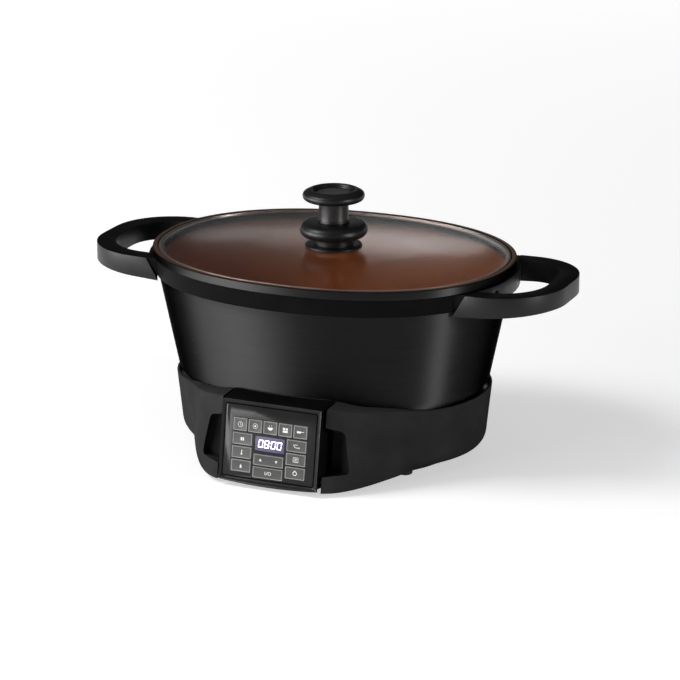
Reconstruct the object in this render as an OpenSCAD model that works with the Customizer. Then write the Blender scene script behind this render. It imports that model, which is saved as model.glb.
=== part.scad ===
// Oval multicooker: a heated base with a control console, a lift-off pot with two
// loop handles, and a glass lid with a stacked knob. Millimetres, +Z up, handles
// along X, console towards -Y, origin under the middle of the whole object.

/* [Pot] */
// Half length of the rim, along the handles
rim_a = 185; // [170:1:200]
// Half width of the rim, from console to back
rim_b = 145; // [132:1:158]
// Squareness of the oval, where 2 is an ellipse
oval_power = 2.15; // [2:0.05:2.5]
// Height from the pot's underside to its rim
pot_h = 136; // [120:1:160]
// Thickness of the pot's wall and floor
pot_wall = 4.2; // [3:0.1:6]
// Lean of the wall, millimetres in for each millimetre down
pot_draft = 0.215; // [0.12:0.005:0.24]
// Outside radius between wall and floor
pot_round = 20; // [16:1:24]
// Height of the band below the rim
rim_band_h = 8.4; // [6:0.2:12]
// Width of the rim's top outside the lid
rim_w = 5.5; // [4:0.5:8]
// Width of the ledge that carries the lid
ledge_w = 4; // [3:0.5:6]
// Height of the recessed belt that carries the handles
belt_h = 18; // [15:0.5:22]
// Depth of the belt behind the rim band
belt_depth = 2.4; // [1.6:0.1:4]
// Step from the belt in to the wall below it
belt_step = 1.2; // [0.6:0.1:2]

/* [Handles] */
// Reach of a handle past the rim
handle_reach = 65; // [55:1:80]
// Width across a handle's loop
handle_w = 157; // [140:1:180]
// Width of the bar seen from above
handle_bar = 19; // [15:0.5:24]
// Outer corner radius of the loop
handle_corner = 64; // [50:1:70]
// Thickness of the web that lies along the belt
handle_web = 6; // [5:0.5:9]
// How much further out the root of a bar starts at its top
handle_slant = 13; // [8:1:18]
// Play between a handle and the edges of the belt
handle_play = 0.2; // [0.1:0.05:0.4]
// Distance of a handle's screws from its middle
handle_screw_y = 32; // [20:1:45]
// Shank radius of a handle screw
handle_screw_r = 2; // [1.5:0.25:2.5]

/* [Lid] */
// Thickness of the glass
glass_t = 3.6; // [3:0.2:5]
// Rise of the glass at its middle
glass_rise = 4.5; // [2:0.5:12]
// Sheet thickness of the steel band round the glass
band_t = 0.7; // [0.5:0.1:1.2]
// How far the band reaches over the glass
band_cover = 5; // [3.5:0.5:8]
// Play between the lid and the rim
lid_play = 0.5; // [0.3:0.1:1]
// Radius of the steam vent's hole
vent_r = 3; // [2:0.5:4]

/* [Knob] */
// Radius of the flange on the glass
flange_r = 28.5; // [24:0.5:34]
// Thickness of the flange
flange_h = 2.4; // [1.8:0.2:4]
// Radius of the neck under the lower disc
neck_r = 19.5; // [15:0.5:24]
// Height of the neck
neck_h = 7.5; // [5:0.5:12]
// Radius of the lower disc
disc_r = 34; // [28:0.5:40]
// Height of the lower disc
disc_h = 14.5; // [10:0.5:20]
// Radius of the stem
stem_r = 15.5; // [12:0.5:19]
// Height of the stem
stem_h = 22.5; // [16:0.5:30]
// Radius of the cap
cap_r = 31; // [25:0.5:38]
// Height of the cap
cap_h = 11; // [9:0.5:16]
// Shank radius of the knob's screw
knob_screw_r = 2.5; // [2:0.25:3]

/* [Base] */
// Height of the base's rim above the table
base_h = 72; // [64:1:84]
// How far the base's rim lies inside the pot's rim, seen from above
base_inset = 22; // [18:0.5:26]
// How much further in the base's wall is at its foot
base_lean = 5; // [2:0.5:9]
// Radius of the round edge under the base's wall
base_round = 9; // [5:0.5:12]
// Wall of the base housing
base_wall = 2.8; // [2:0.2:3.6]
// Width of the base's rim round the well
base_rim_w = 3.5; // [2.8:0.1:5]
// How deep the pot's underside lies below the base's rim
pot_sink = 6; // [4:0.5:9]
// Height of the side skirt's lower edge above the table
side_skirt_z = 11; // [8:0.5:13]
// Height of the console skirt's lower edge above the table
console_skirt_z = 4; // [2.5:0.5:6]
// Underside of the bottom plate above the table
bottom_z = 13; // [11:0.5:16]
// Thickness of the bottom plate
bottom_t = 2.5; // [2:0.1:4]
// Radius of a rubber foot
foot_r = 7.5; // [5:0.5:9]
// Shank radius of a bottom screw
bottom_screw_r = 1.5; // [1.2:0.1:2]
// Outer radius of the cord gland's barrel
gland_r = 7.5; // [6:0.5:10]
// Radius of the cord hole through the gland
cord_r = 3.6; // [3:0.1:5]

/* [Console] */
// Width of the control panel
panel_w = 104; // [98:1:112]
// Lean of the panel back from upright, degrees
panel_tilt = 10; // [6:0.5:14]
// Height of the deck's front edge above the table
deck_z = 84.4; // [82:0.2:90]
// Rise of the deck towards the pot
deck_rise = 2.6; // [1:0.2:5]
// How far the console's foot stands out past the pot's rim
console_out = 18.5; // [12:0.5:28]
// Wall of the console's panel and deck
panel_t = 2.5; // [2:0.1:3.2]
// Drop of the panel's lower edge at its middle
panel_bow = 2.5; // [1:0.5:4]
// Seam between the console and the housing
seam = 0.3; // [0.2:0.05:0.5]
// Depth of the grip pockets beside the panel
pocket_depth = 19; // [12:1:22]
// Width of the grip pockets
pocket_w = 20; // [14:1:24]

/* [Keys] */
// Width of the bare panel on each side of the keypad
keypad_margin = 13; // [12:0.5:15]
// Gap between keys
key_gap = 1.6; // [1.5:0.1:2]
// Height of the keys in the top row
top_key_h = 12.6; // [11:0.1:13]
// Width of the keys at the sides
side_key_w = 20.6; // [18:0.1:21]
// Height of the keys at the sides
side_key_h = 11.6; // [10:0.1:12]
// Height of the rocker key and of the start key
mid_key_h = 10.8; // [9:0.1:11]
// Play of a key in its opening
key_play = 0.35; // [0.3:0.05:0.4]
// How far a key stands proud of the panel
key_proud = 0.9; // [0.5:0.1:1.5]
// Travel of a key
key_travel = 0.6; // [0.4:0.1:0.8]
// Height of the display window
window_h = 14.8; // [12:0.2:15]

/* [Heater] */
// Radius of the heating plate
heater_r = 84; // [70:1:90]
// Thickness of the heating plate
heater_t = 9; // [7:0.5:12]
// Radius of the ring of the heating element
element_ring_r = 58; // [50:1:62]
// Radius of the heating element's tube
element_r = 4; // [3:0.25:5]
// Radius of the sensor cup
sensor_r = 18; // [14:0.5:20]
// Sheet thickness of the heat shield
shield_t = 1.2; // [0.8:0.1:1.6]
// Depth of the heat shield's floor below the pot
shield_depth = 28; // [25:1:30]

/* [Hidden] */
$fn = 48;
eps = 0.01;
past = 40;            // how far a cut runs past an open face
oval_steps = 72;      // sides of every oval
fit = 0.1;            // play between pieces of one body

// Heights of the pot
pot_z = base_h - pot_sink;
rim_z = pot_z + pot_h;
belt_top = rim_z - rim_band_h;
belt_bottom = belt_top - belt_h;
ledge_z = rim_z - glass_t - 2 * band_t;
ledge_in = -rim_w - ledge_w;

// Section of the pot: offsets are measured in from the rim's outer edge
draft_angle = atan(pot_draft);
wall_run = pot_wall / cos(draft_angle);
round_z = pot_z + pot_round;
bend_z = round_z - pot_round * sin(draft_angle);
bend_in = wall_in(bend_z) - pot_round * cos(draft_angle);
ledge_end_z = belt_bottom - (-ledge_in - belt_depth - belt_step - wall_run) / pot_draft;
bend_steps = 6;

// Handles
handle_x = rim_a + handle_reach;
handle_y = handle_w / 2;
handle_inside = rim_a / 2;
handle_z = belt_bottom + handle_play;
handle_h = belt_h - 2 * handle_play;
slant_lead = 4;       // bare belt beside the root's lower edge
slant_cut = 12;       // depth of the slanted root across the bar
screw_bite = 5;       // depth of a handle screw in the belt
screw_head_r = 3.8;
screw_head_h = 2.2;
screw_seat = 2;       // web left under a screw's head
corner_steps = 12;

// Lid
rim_edge = 1.2;       // bevel of the rim band
lid_in = -rim_w - lid_play;
band_in = lid_in - band_cover;
glass_in = lid_in - band_t;
dome_in = band_in - 1;
flat_b = 46;          // half width of the flat middle of the glass
flat_in = flat_b - rim_b;
dome_steps = 4;
glass_rings = [for (i = [0 : dome_steps]) flat_in + (dome_in - flat_in) * i / dome_steps];
glass_top_z = rim_z - band_t + dome(flat_in);
vent_x = -15;
vent_y = 35;
vent_z = glass_top_z - glass_t;
vent_lip = 2.2;
vent_lip_h = 1.2;
vent_wall = 0.8;

// Knob
washer_r = 12;
washer_h = 1.5;
washer_z = glass_top_z - glass_t - washer_h;
knob_head_r = 6;
knob_head_h = 3.2;
knob_bore = knob_screw_r + fit;
knob_bite = 5;        // depth of the screw in the cap
disc_edge = 7;        // radius of the lower disc's round edge
cap_edge = 4.2;       // radius of the cap's round edge
cap_lift = 1;         // rise of the cap's underside out to its edge
cap_dish = 2;         // depth of the hollow in the cap's top
dish_w = 9;           // width of the cap's ring round the hollow
edge_steps = 6;
disc_turn = 75;       // end of the lower disc's round edge, degrees
cap_turn = 45;        // end of the cap's round edge, degrees
shoulder_w = 1;       // ledge of the lower disc and the cap round the stem
collar_z = glass_top_z + flange_h;
stem_z = collar_z + neck_h + disc_h;
cap_z = stem_z + stem_h;

// Base
well_in = -base_inset - base_rim_w;
shelf_drop = 8;       // shelf of the heat shield below the base's rim
shelf_t = 2.5;
shelf_w = 7.5;
shelf_z = base_h - shelf_drop;
shelf_in = well_in - shelf_w;
deck_gap = 1.4;       // gap between the deck and the pot's wall
above_z = base_h + 30;
base_foot_in = -base_inset - base_lean;
base_top_t = 3;       // thickness of the base's top
open_drop = 1;        // how far the hollow runs past the open underside
bottom_top = bottom_z + bottom_t;
plate_gap = 0.8;      // gap between the bottom plate and the housing
plate_in = base_foot_in - base_round + plate_gap;
boss_r = 4;
boss_edge = 3;        // plate left outside a post
boss_in = plate_in - boss_r - boss_edge;
boss_h = 20;
boss_turns = [30, 70, 110, 150, 210, 330];
rib_t = 3;            // rib from a post to the wall
rib_l = 16;
screw_depth = 12;
screw_end_gap = 1;    // room left at the end of a bore
bottom_head_r = 3.4;
bottom_head_h = 2.2;
foot_stub_r = 3;
foot_edge = 1;
gland_z = 30;
gland_seat = 1;       // collar in front of the wall, which leans
gland_collar = 2;     // how far the collar stands out round the barrel
gland_collar_h = 3;
gland_inner = 12;
gland_rise = (gland_z - side_skirt_z - base_round) / (base_h - side_skirt_z - base_round);
gland_y = rim_b + base_foot_in + base_lean * gland_rise;
vent_slot = [44, 3];
vent_slot_pitch = 9;
vent_slot_shift = 45; // how far the slots lie in front of the middle

// Console: discs whose hull is its block, given by place, height and radius
console_y = -rim_b - console_out;
foot_places = [[62.5, console_y + 28.8], [104, -64], [82, 81]];
deck_front_y = console_y + (deck_z - console_skirt_z) * tan(panel_tilt);
deck_back_y = deck_front_y + 43;
foot_corner_r = 34;
foot_corner = [panel_w / 2 - 8, console_y + foot_corner_r];
flank_r = 30;
flank = [panel_w / 2 + 30, console_y + 83.5];
deck_corner_r = 22;
deck_corner = [panel_w / 2 - 10, deck_front_y + deck_corner_r];
shoulder_r = 24;
shoulder = [panel_w / 2 + 25, deck_front_y + 48.5];
shoulder_z = base_h + 6;
hip_r = 25;
hip = [panel_w / 2 + 66, console_y + 109.5];
hip_in = [-3.8, 3.3]; // how far the hip is drawn in at its foot
deck_back = [panel_w / 2 + 18, deck_back_y + 2];
deck_slope = atan(deck_rise / (deck_back_y - deck_front_y));
bar_r = 3;

// Panel: its own axes have x to the right, y up the panel and z out of it
panel_proud = 0.8;
panel_low = 2;        // start of the panel above the skirt, along the panel
panel_len = (deck_z - console_skirt_z) / cos(panel_tilt) - panel_low;
panel_y = console_y + panel_low * sin(panel_tilt) - panel_proud;
panel_z = console_skirt_z + panel_low * cos(panel_tilt);
console_half = panel_w / 2;
bow_steps = 10;
pocket_low = 16;
pocket_high = 62;
pocket_lean = 7;      // how much further out a pocket opens at its mouth
pocket_slope = 5;     // how much shallower a pocket is at its outer side
console_depth = 24;   // depth of the console's flanges behind the panel
flange_low = 2.8;     // start of the flanges, up the panel
bay_gap = 3;          // gap between the flanges and the bottom plate's notch
deck_corner_gap = 6;  // room above the side flanges, under the deck
deck_len = deck_back_y - deck_front_y;

// Keypad
keypad_w = panel_w - 2 * keypad_margin;
mid_gap = 2.7;        // gap between the middle column and the side keys
mid_key_w = keypad_w - 2 * side_key_w - 2 * mid_gap;
top_key_w = (keypad_w - 4 * key_gap) / 5;
start_y = 11.6;
rocker_y = start_y + mid_key_h + key_gap;
side_rise = 4;        // side keys start this much above the start key
side_y = start_y + side_rise;
side_pitch = side_key_h + key_gap + fit;
window_gap = 3;
window_y = rocker_y + mid_key_h / 2 + window_gap + window_h / 2;
top_gap = 2;
top_y = side_y + 2 * side_pitch + side_key_h / 2 + top_gap + top_key_h / 2;
key_lip = 0.55;       // lip of a key behind its opening, past the key's side
key_lip_t = 1;
key_stem = [4, 4];
switch_size = [6, 6];
switch_h = 3.4;
plunger_r = 1.7;
plunger_h = 1;
key_back = panel_t + fit + key_lip_t;
stem_drop = 2.6;
board_t = 1.6;
stem_rest = 0.1;      // gap over the plunger at the end of a key's travel
board_drop = key_back + stem_drop + key_travel + stem_rest + plunger_h + switch_h;
board_margin = 5;     // panel left on each side of the control board
board_w = panel_w - 2 * board_margin;
board_low = 6;
board_len = top_y + top_key_h / 2 - 2;
boss_inset = [2.5, 5];
board_boss = [[board_w / 2 - boss_inset.x, board_low + boss_inset.y],
              [board_w / 2 - boss_inset.x, board_low + board_len - boss_inset.y]];
board_boss_r = 2.6;
board_screw_r = 1.2;
board_screw_l = 6;
board_head_r = 2.4;
board_head_h = 1.6;
module_edge = 0.8;
rocker_axis = 5;      // depth of the rocker's axis behind the panel's face
rocker_lug = [6, 5];
rocker_pin_r = 1;
rocker_play = 0.08;
rocker_bore = rocker_pin_r + rocker_play;
rocker_stem_gap = 0.4;
rocker_ear = 1.2;
rocker_ear_gap = 0.3;
rocker_ear_w = 5;
rocker_ear_rise = 1.5; // ear above the pin's axis
rocker_span = rocker_lug.y + 2 * (rocker_ear_gap + rocker_ear);
rocker_switch_x = 9;
key_places = concat(
    [[0, start_y], [-rocker_switch_x, rocker_y], [rocker_switch_x, rocker_y]],
    [for (i = [0 : 4]) [top_x(i), top_y]],
    [for (side = [-1, 1], i = [0 : 2]) [side * side_x(), side_key_y(i)]]);

// Heater
shield_play = 1;
shield_in = shelf_in - shield_play;
shield_floor_z = pot_z - shield_depth;
shield_slope = 6;     // height of the slanted foot of the shield's wall
shield_slope_w = 12;
shield_floor_in = shield_in - shield_slope_w;
flange_gap = 0.4;
shield_flange_in = well_in - flange_gap;
heater_z = pot_z - heater_t;
heater_gap = 2.5;
heater_hole = sensor_r + heater_gap;
element_gap_angle = 40;
element_pin_r = 2;
element_pin_l = 8;
post_r = 5;
post_gap = 3;
post_ring_r = element_ring_r + element_r + post_r + post_gap;
post_turns = [30, 150, 270];
fuse_size = [18, 8, 6];
fuse_place = [-element_ring_r / 2 - heater_hole / 2, 0];
sensor_cap_h = 6;
sensor_edge = 1;
sensor_stem_r = 4;
sensor_stem_play = 0.1;
sensor_tail = 8;      // length of the stem below the shield's floor
clip_r = 7;
clip_t = 1.2;
clip_drop = 4;
clip_groove = 1;
clip_z = shield_floor_z - clip_drop - clip_t;
spring_in_r = 6.5;
spring_out_r = 8.5;
shield_screw_r = 1.5;
shield_head_r = 2.6;
shield_head_h = 0.8;
shield_turns = [0, 120, 240];

// Power electronics on the bottom plate
power_size = [80, 50];
power_place = [0, 55];
standoff_h = 5;
standoff_r = 3;
standoff_inset = 5;
power_z = bottom_top + standoff_h;
power_top = power_z + board_t;
relay_gap = 3.9;      // room between the relay and the heat shield
relay_size = [19, 15, shield_floor_z - power_top - relay_gap];
relay_place = [-22, 55];
capacitor_r = 6;
capacitor_gap = 4.9;  // room between the capacitor and the heat shield
capacitor_h = shield_floor_z - power_top - capacitor_gap;
capacitor_place = [22, 58];
terminal_size = [30, 12, 11];
terminal_place = [0, 94];

// Middle of the whole object, between the panel's foot and the back of the rim
front_y = panel_y - panel_bow * sin(panel_tilt);
pot_y = (-front_y - rim_b) / 2;

// Offset of the pot's outer wall at a height, as if it had no round foot
function wall_in(z) = -belt_depth - belt_step - pot_draft * (belt_bottom - z);
// Rise of the glass over its edge at an offset from the rim
function dome(off) = glass_rise * (1 - pow((rim_b + off) / (rim_b + dome_in), 2));
// Signed power, for the oval's outline
function spow(v, e) = sign(v) * pow(abs(v), e);
// Point of the oval at an offset from the rim, for a turn from +X
function oval_point(off, turn) = [(rim_a + off) * spow(cos(turn), 2 / oval_power),
                                  (rim_b + off) * spow(sin(turn), 2 / oval_power)];
function oval(off) = [for (i = [0 : oval_steps - 1]) oval_point(off, 360 * i / oval_steps)];
// Half length of the oval at a distance from its long axis
function oval_x(off, y) =
    (rim_a + off) * pow(1 - pow(abs(y) / (rim_b + off), oval_power), 1 / oval_power);
// Arc of points round a centre
function arc(centre, r, from, to, steps) =
    [for (i = [0 : steps]) let (a = from + (to - from) * i / steps) centre + r * [cos(a), sin(a)]];
// Places of the keys, along the panel's own axes
function top_x(i) = (i - 2) * (top_key_w + key_gap);
function side_x() = (keypad_w - side_key_w) / 2;
function side_key_y(i) = side_y + i * side_pitch;

// The whole object is drawn about the pot's axis and moved to the middle of its own box
module centred() {
    translate([0, pot_y, 0]) children();
}

// Solid whose oval cross-section follows [offset, height] pairs; both ends are closed
module oval_skin(path) {
    n = oval_steps;
    last = len(path) - 1;
    polyhedron(
        [for (s = path, p = oval(s.x)) [p.x, p.y, s.y]],
        concat(
            [[for (i = [0 : n - 1]) i]],
            [[for (i = [n - 1 : -1 : 0]) last * n + i]],
            [for (k = [0 : last - 1], i = [0 : n - 1]) let (j = (i + 1) % n)
                [k * n + i, (k + 1) * n + i, (k + 1) * n + j]],
            [for (k = [0 : last - 1], i = [0 : n - 1]) let (j = (i + 1) % n)
                [k * n + i, (k + 1) * n + j, k * n + j]]));
}

// Ring whose closed section is given as [offset, height] pairs
module oval_ring(section) {
    n = oval_steps;
    m = len(section);
    polyhedron(
        [for (s = section, p = oval(s.x)) [p.x, p.y, s.y]],
        concat(
            [for (k = [0 : m - 1], i = [0 : n - 1]) let (j = (i + 1) % n, l = (k + 1) % m)
                [k * n + i, l * n + i, l * n + j]],
            [for (k = [0 : m - 1], i = [0 : n - 1]) let (j = (i + 1) % n, l = (k + 1) % m)
                [k * n + i, l * n + j, k * n + j]]));
}

// Places its children on the panel: x to the right, y up the panel, z out of its face
module on_panel() {
    translate([0, panel_y, panel_z]) rotate([90 - panel_tilt, 0, 0]) children();
}

module both_sides() {
    children();
    mirror([1, 0, 0]) children();
}

// Base

// Oval tub of the base, drawn in from its outside by a wall
module tub(wall, drop) {
    oval_skin([
        [base_foot_in - base_round - wall, side_skirt_z - drop],
        [base_foot_in - base_round / 3 - wall, side_skirt_z + base_round / 3],
        [base_foot_in - wall, side_skirt_z + base_round],
        [-base_inset - wall, base_h - (wall > 0 ? base_top_t : 0)]]);
}

// Disc of the console's block
module block_disc(place, r, z, h) {
    translate([place.x, place.y, z]) cylinder(r = r, h = h);
}

// Block of the console, drawn in from its outside by a wall
module block(wall, drop) {
    hull() both_sides() {
        block_disc(foot_corner, foot_corner_r - wall, console_skirt_z - drop, eps);
        block_disc(flank, flank_r - wall, console_skirt_z - drop, eps);
        block_disc(deck_corner, deck_corner_r - wall, deck_z - wall - eps, eps);
        block_disc(shoulder, shoulder_r - wall, shoulder_z - wall - eps, eps);
        block_disc(hip, hip_r - wall, base_h - wall - eps, eps);
        block_disc(hip + hip_in, hip_r - wall, side_skirt_z + base_round, eps);
        block_disc(hip + hip_in, hip_r - base_round - wall, side_skirt_z - drop, eps);
        block_disc(deck_back, bar_r, deck_z + deck_rise - wall - eps, eps);
    }
}

// Space of the pot's well, widened by a wall, from a height up past the deck
module well(wall, from_z) {
    oval_skin([
        [well_in + wall, from_z],
        [well_in + wall, base_h],
        [wall_in(above_z) + deck_gap + wall, above_z]]);
}

// Space between the housing's cheeks, which the console fills
module console_bay(half) {
    translate([-half, console_y - past, -past])
        cube([2 * half, flank.y + flank_r + past - console_y, deck_z + deck_rise + 2 * past]);
}

// Grip pocket beside the panel's edge, on the +X side, grown by a wall
module pocket(wall) {
    edge = console_half + seam - eps;
    on_panel() translate([0, pocket_low - wall, 0]) rotate([-90, 0, 0]) mirror([0, 1, 0])
        linear_extrude(pocket_high - pocket_low + 2 * wall) polygon([
            [edge, past],
            [edge + pocket_w + pocket_lean + wall, past],
            [edge + pocket_w + wall, -pocket_depth + pocket_slope - wall / 2],
            [edge + pocket_w / 2 + wall / 2, -pocket_depth - wall],
            [edge, -pocket_depth - wall]]);
}

// Cylinders at the bottom plate's screws, for posts, bores and shanks
module bosses(r, from_z, to_z) {
    for (turn = boss_turns)
        translate(concat(oval_point(boss_in, turn), from_z)) cylinder(r = r, h = to_z - from_z);
}

// Posts that take the bottom plate's screws, each with a rib to the wall
module boss_posts() {
    intersection() {
        union() {
            bosses(boss_r, bottom_top, bottom_top + boss_h);
            for (turn = boss_turns) {
                from = oval_point(boss_in, turn);
                out = oval_point(boss_in + rib_l, turn) - from;
                translate(concat(from, bottom_top)) rotate([0, 0, atan2(out.y, out.x)])
                    translate([0, -rib_t / 2, 0]) cube([rib_l, rib_t, boss_h]);
            }
        }
        tub(base_wall / 2, 0);
    }
}

// Housing of the base: tub and console block in one wall, with the well's collar and shelf
module base_housing() color("#1c1c1d") centred() difference() {
    union() {
        difference() {
            union() {
                tub(0, 0);
                block(0, 0);
            }
            difference() {
                union() {
                    tub(base_wall, open_drop);
                    block(base_wall, open_drop);
                    console_bay(console_half + seam);
                    translate([0, 0, bottom_top - past]) linear_extrude(past)
                        polygon(oval(base_foot_in - base_round - base_wall));
                }
                well(base_wall, shelf_z - shelf_t);
                both_sides() pocket(base_wall);
            }
        }
        boss_posts();
    }
    well(0, shelf_z);
    translate([0, 0, shelf_z - shelf_t - open_drop]) linear_extrude(past) polygon(oval(shelf_in));
    at_shield_screws() translate([0, 0, shelf_z - shelf_t - open_drop])
        cylinder(r = shield_screw_r + fit, h = past);
    both_sides() pocket(0);
    bosses(bottom_screw_r + fit, bottom_top - eps, bottom_top + screw_depth);
    translate([0, gland_y, gland_z]) rotate([90, 0, 0])
        cylinder(r = gland_r + fit, h = 2 * gland_inner, center = true);
}

// Outline of the bottom plate: the tub's and the console's foot, drawn in from the housing's wall
module bottom_outline() {
    console_inset = base_wall + plate_gap + (bottom_top - console_skirt_z) * tan(panel_tilt);
    difference() {
        union() {
            polygon(oval(plate_in));
            hull() both_sides() {
                translate(foot_corner) circle(r = foot_corner_r - console_inset);
                translate(flank) circle(r = flank_r - console_inset);
            }
        }
        translate([-console_half - plate_gap, console_y - past])
            square([panel_w + 2 * plate_gap, past + console_depth + bay_gap]);
    }
}

// Places one child at each foot
module at_feet() {
    for (place = foot_places) both_sides() translate(place) children();
}

// Places one child at each of the power board's screws
module at_standoffs() {
    for (side_x = [-1, 1], side_y = [-1, 1]) translate(power_place)
        translate([side_x * (power_size.x / 2 - standoff_inset),
                   side_y * (power_size.y / 2 - standoff_inset)]) children();
}

// Plate that closes the base from below
module bottom_plate() color("#232324") centred() difference() {
    union() {
        translate([0, 0, bottom_z]) linear_extrude(bottom_t) bottom_outline();
        at_standoffs() translate([0, 0, bottom_top - eps]) cylinder(r = standoff_r, h = standoff_h + eps);
    }
    at_standoffs() translate([0, 0, bottom_top]) cylinder(r = board_screw_r + fit, h = past);
    bosses(bottom_screw_r + fit, bottom_z - past, bottom_z + past);
    at_feet() translate([0, 0, bottom_z - past]) cylinder(r = foot_stub_r + fit, h = 2 * past);
    for (i = [-2 : 2])
        translate([-vent_slot.x / 2, i * vent_slot_pitch - vent_slot_shift, bottom_z - past])
            cube([vent_slot.x, vent_slot.y, 2 * past]);
}

// Six rubber feet with a stub through the bottom plate and a bead that holds it
module rubber_feet() color("#111111") centred() at_feet() rotate_extrude() polygon([
    [0, 0], [foot_r - foot_edge, 0], [foot_r, foot_edge], [foot_r, bottom_z],
    [foot_stub_r, bottom_z], [foot_stub_r, bottom_top], [foot_stub_r + foot_edge, bottom_top],
    [foot_stub_r, bottom_top + 2 * foot_edge], [0, bottom_top + 2 * foot_edge]]);

// Six screws from below into the housing's posts
module bottom_screws() color("#8d8f92") centred() {
    bosses(bottom_screw_r, bottom_z - eps, bottom_top + screw_depth - screw_end_gap);
    bosses(bottom_head_r, bottom_z - bottom_head_h, bottom_z);
}

// Gland in the back wall, through which the cord leaves
module cord_gland() color("#151515") centred() translate([0, gland_y, gland_z]) rotate([-90, 0, 0])
    difference() {
        union() {
            translate([0, 0, -gland_inner]) cylinder(r = gland_r, h = gland_inner + gland_seat + eps);
            translate([0, 0, gland_seat]) cylinder(r = gland_r + gland_collar, h = gland_collar_h);
        }
        translate([0, 0, -past]) cylinder(r = cord_r, h = 2 * past);
    }

// Heater

// Places one child at each screw of the heat shield's flange
module at_shield_screws() {
    for (turn = shield_turns) translate(oval_point((well_in + shelf_in) / 2, turn)) children();
}

// Sheet metal bowl under the pot, hung on the housing's shelf
module heat_shield() color("#a9abad") centred() difference() {
    oval_skin([
        [shield_floor_in, shield_floor_z],
        [shield_in, shield_floor_z + shield_slope],
        [shield_in, shelf_z],
        [shield_flange_in, shelf_z],
        [shield_flange_in, shelf_z + shield_t],
        [shield_in - shield_t, shelf_z + shield_t],
        [shield_in - shield_t, shield_floor_z + shield_slope + shield_t / 2],
        [shield_floor_in - shield_t / 2, shield_floor_z + shield_t]]);
    translate([0, 0, shield_floor_z - past]) cylinder(r = sensor_stem_r + sensor_stem_play, h = 2 * past);
    at_shield_screws() translate([0, 0, shelf_z - past]) cylinder(r = shield_screw_r + fit, h = 2 * past);
}

module shield_screws() color("#8d8f92") centred() at_shield_screws() {
    translate([0, 0, shelf_z + shield_t]) cylinder(r = shield_head_r, h = shield_head_h);
    translate([0, 0, shelf_z - shelf_t]) cylinder(r = shield_screw_r, h = shelf_t + shield_t + eps);
}

// Cast plate on which the pot stands, with a groove for the element
module heating_plate() color("#b4b6b8") centred() difference() {
    translate([0, 0, heater_z]) cylinder(r = heater_r, h = heater_t);
    translate([0, 0, heater_z - past]) cylinder(r = heater_hole, h = 2 * past);
    translate([0, 0, heater_z]) rotate_extrude() translate([element_ring_r, 0]) circle(r = element_r + fit);
}

// Tubular element in the plate's groove, with a cold pin at each end
module heating_element() color("#5d5a56") centred() translate([0, 0, heater_z]) {
    rotate([0, 0, 90 + element_gap_angle / 2]) rotate_extrude(angle = 360 - element_gap_angle)
        translate([element_ring_r, 0]) circle(r = element_r);
    for (side = [-1, 1])
        rotate([0, 0, 90 + side * element_gap_angle / 2]) translate([element_ring_r, 0, 0])
            rotate([90 * side, 0, 0]) translate([0, 0, -element_pin_r])
                cylinder(r = element_pin_r, h = element_pin_l);
}

// Posts that carry the plate on the shield's floor
module heater_posts() color("#9a9c9f") centred() for (turn = post_turns)
    rotate([0, 0, turn]) translate([post_ring_r, 0, shield_floor_z + shield_t])
        cylinder(r = post_r, h = heater_z - shield_floor_z - shield_t);

// Overheat fuse in its clip under the plate
module thermal_fuse() color("#e3e0d6") centred()
    translate([fuse_place.x - fuse_size.x / 2, fuse_place.y, heater_z - fuse_size.z / 2]) {
        translate([0, -fuse_size.y / 2, 0]) cube([fuse_size.x, fuse_size.y, fuse_size.z / 2]);
        rotate([0, 90, 0]) cylinder(r = fuse_size.z / 2, h = fuse_size.x);
    }

// Spring-loaded cup that touches the pot's underside
module sensor_cup() color("#c3c5c7") centred() rotate_extrude() polygon([
    [0, pot_z], [sensor_r - sensor_edge, pot_z], [sensor_r, pot_z - sensor_edge],
    [sensor_r, pot_z - sensor_cap_h], [sensor_stem_r, pot_z - sensor_cap_h],
    [sensor_stem_r, clip_z + clip_t], [sensor_stem_r - clip_groove, clip_z + clip_t],
    [sensor_stem_r - clip_groove, clip_z], [sensor_stem_r, clip_z],
    [sensor_stem_r, shield_floor_z - sensor_tail], [0, shield_floor_z - sensor_tail]]);

// Clip in the groove of the sensor's stem
module sensor_clip() color("#8d8f92") centred() translate([0, 0, clip_z]) difference() {
    cylinder(r = clip_r, h = clip_t);
    translate([0, 0, -past]) cylinder(r = sensor_stem_r - clip_groove + fit, h = 2 * past);
}

// Spring under the sensor's cup
module sensor_spring() color("#8d8f92") centred() translate([0, 0, shield_floor_z + shield_t]) difference() {
    cylinder(r = spring_out_r, h = pot_z - sensor_cap_h - shield_floor_z - shield_t);
    translate([0, 0, -past]) cylinder(r = spring_in_r, h = 2 * past);
}

// Power electronics

module power_board() color("#2f6b3c") centred() difference() {
    translate([power_place.x - power_size.x / 2, power_place.y - power_size.y / 2, power_z])
        cube([power_size.x, power_size.y, board_t]);
    at_standoffs() translate([0, 0, power_z - past]) cylinder(r = board_screw_r + fit, h = 2 * past);
}

module power_board_screws() color("#8d8f92") centred() at_standoffs() {
    translate([0, 0, power_top]) cylinder(r = board_head_r, h = board_head_h);
    translate([0, 0, bottom_top]) cylinder(r = board_screw_r, h = power_top - bottom_top + eps);
}

module power_relay() color("#2b4f8c") centred()
    translate([relay_place.x - relay_size.x / 2, relay_place.y - relay_size.y / 2, power_top])
        cube(relay_size);

module filter_capacitor() color("#b59a2c") centred()
    translate(concat(capacitor_place, power_top)) cylinder(r = capacitor_r, h = capacitor_h);

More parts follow.
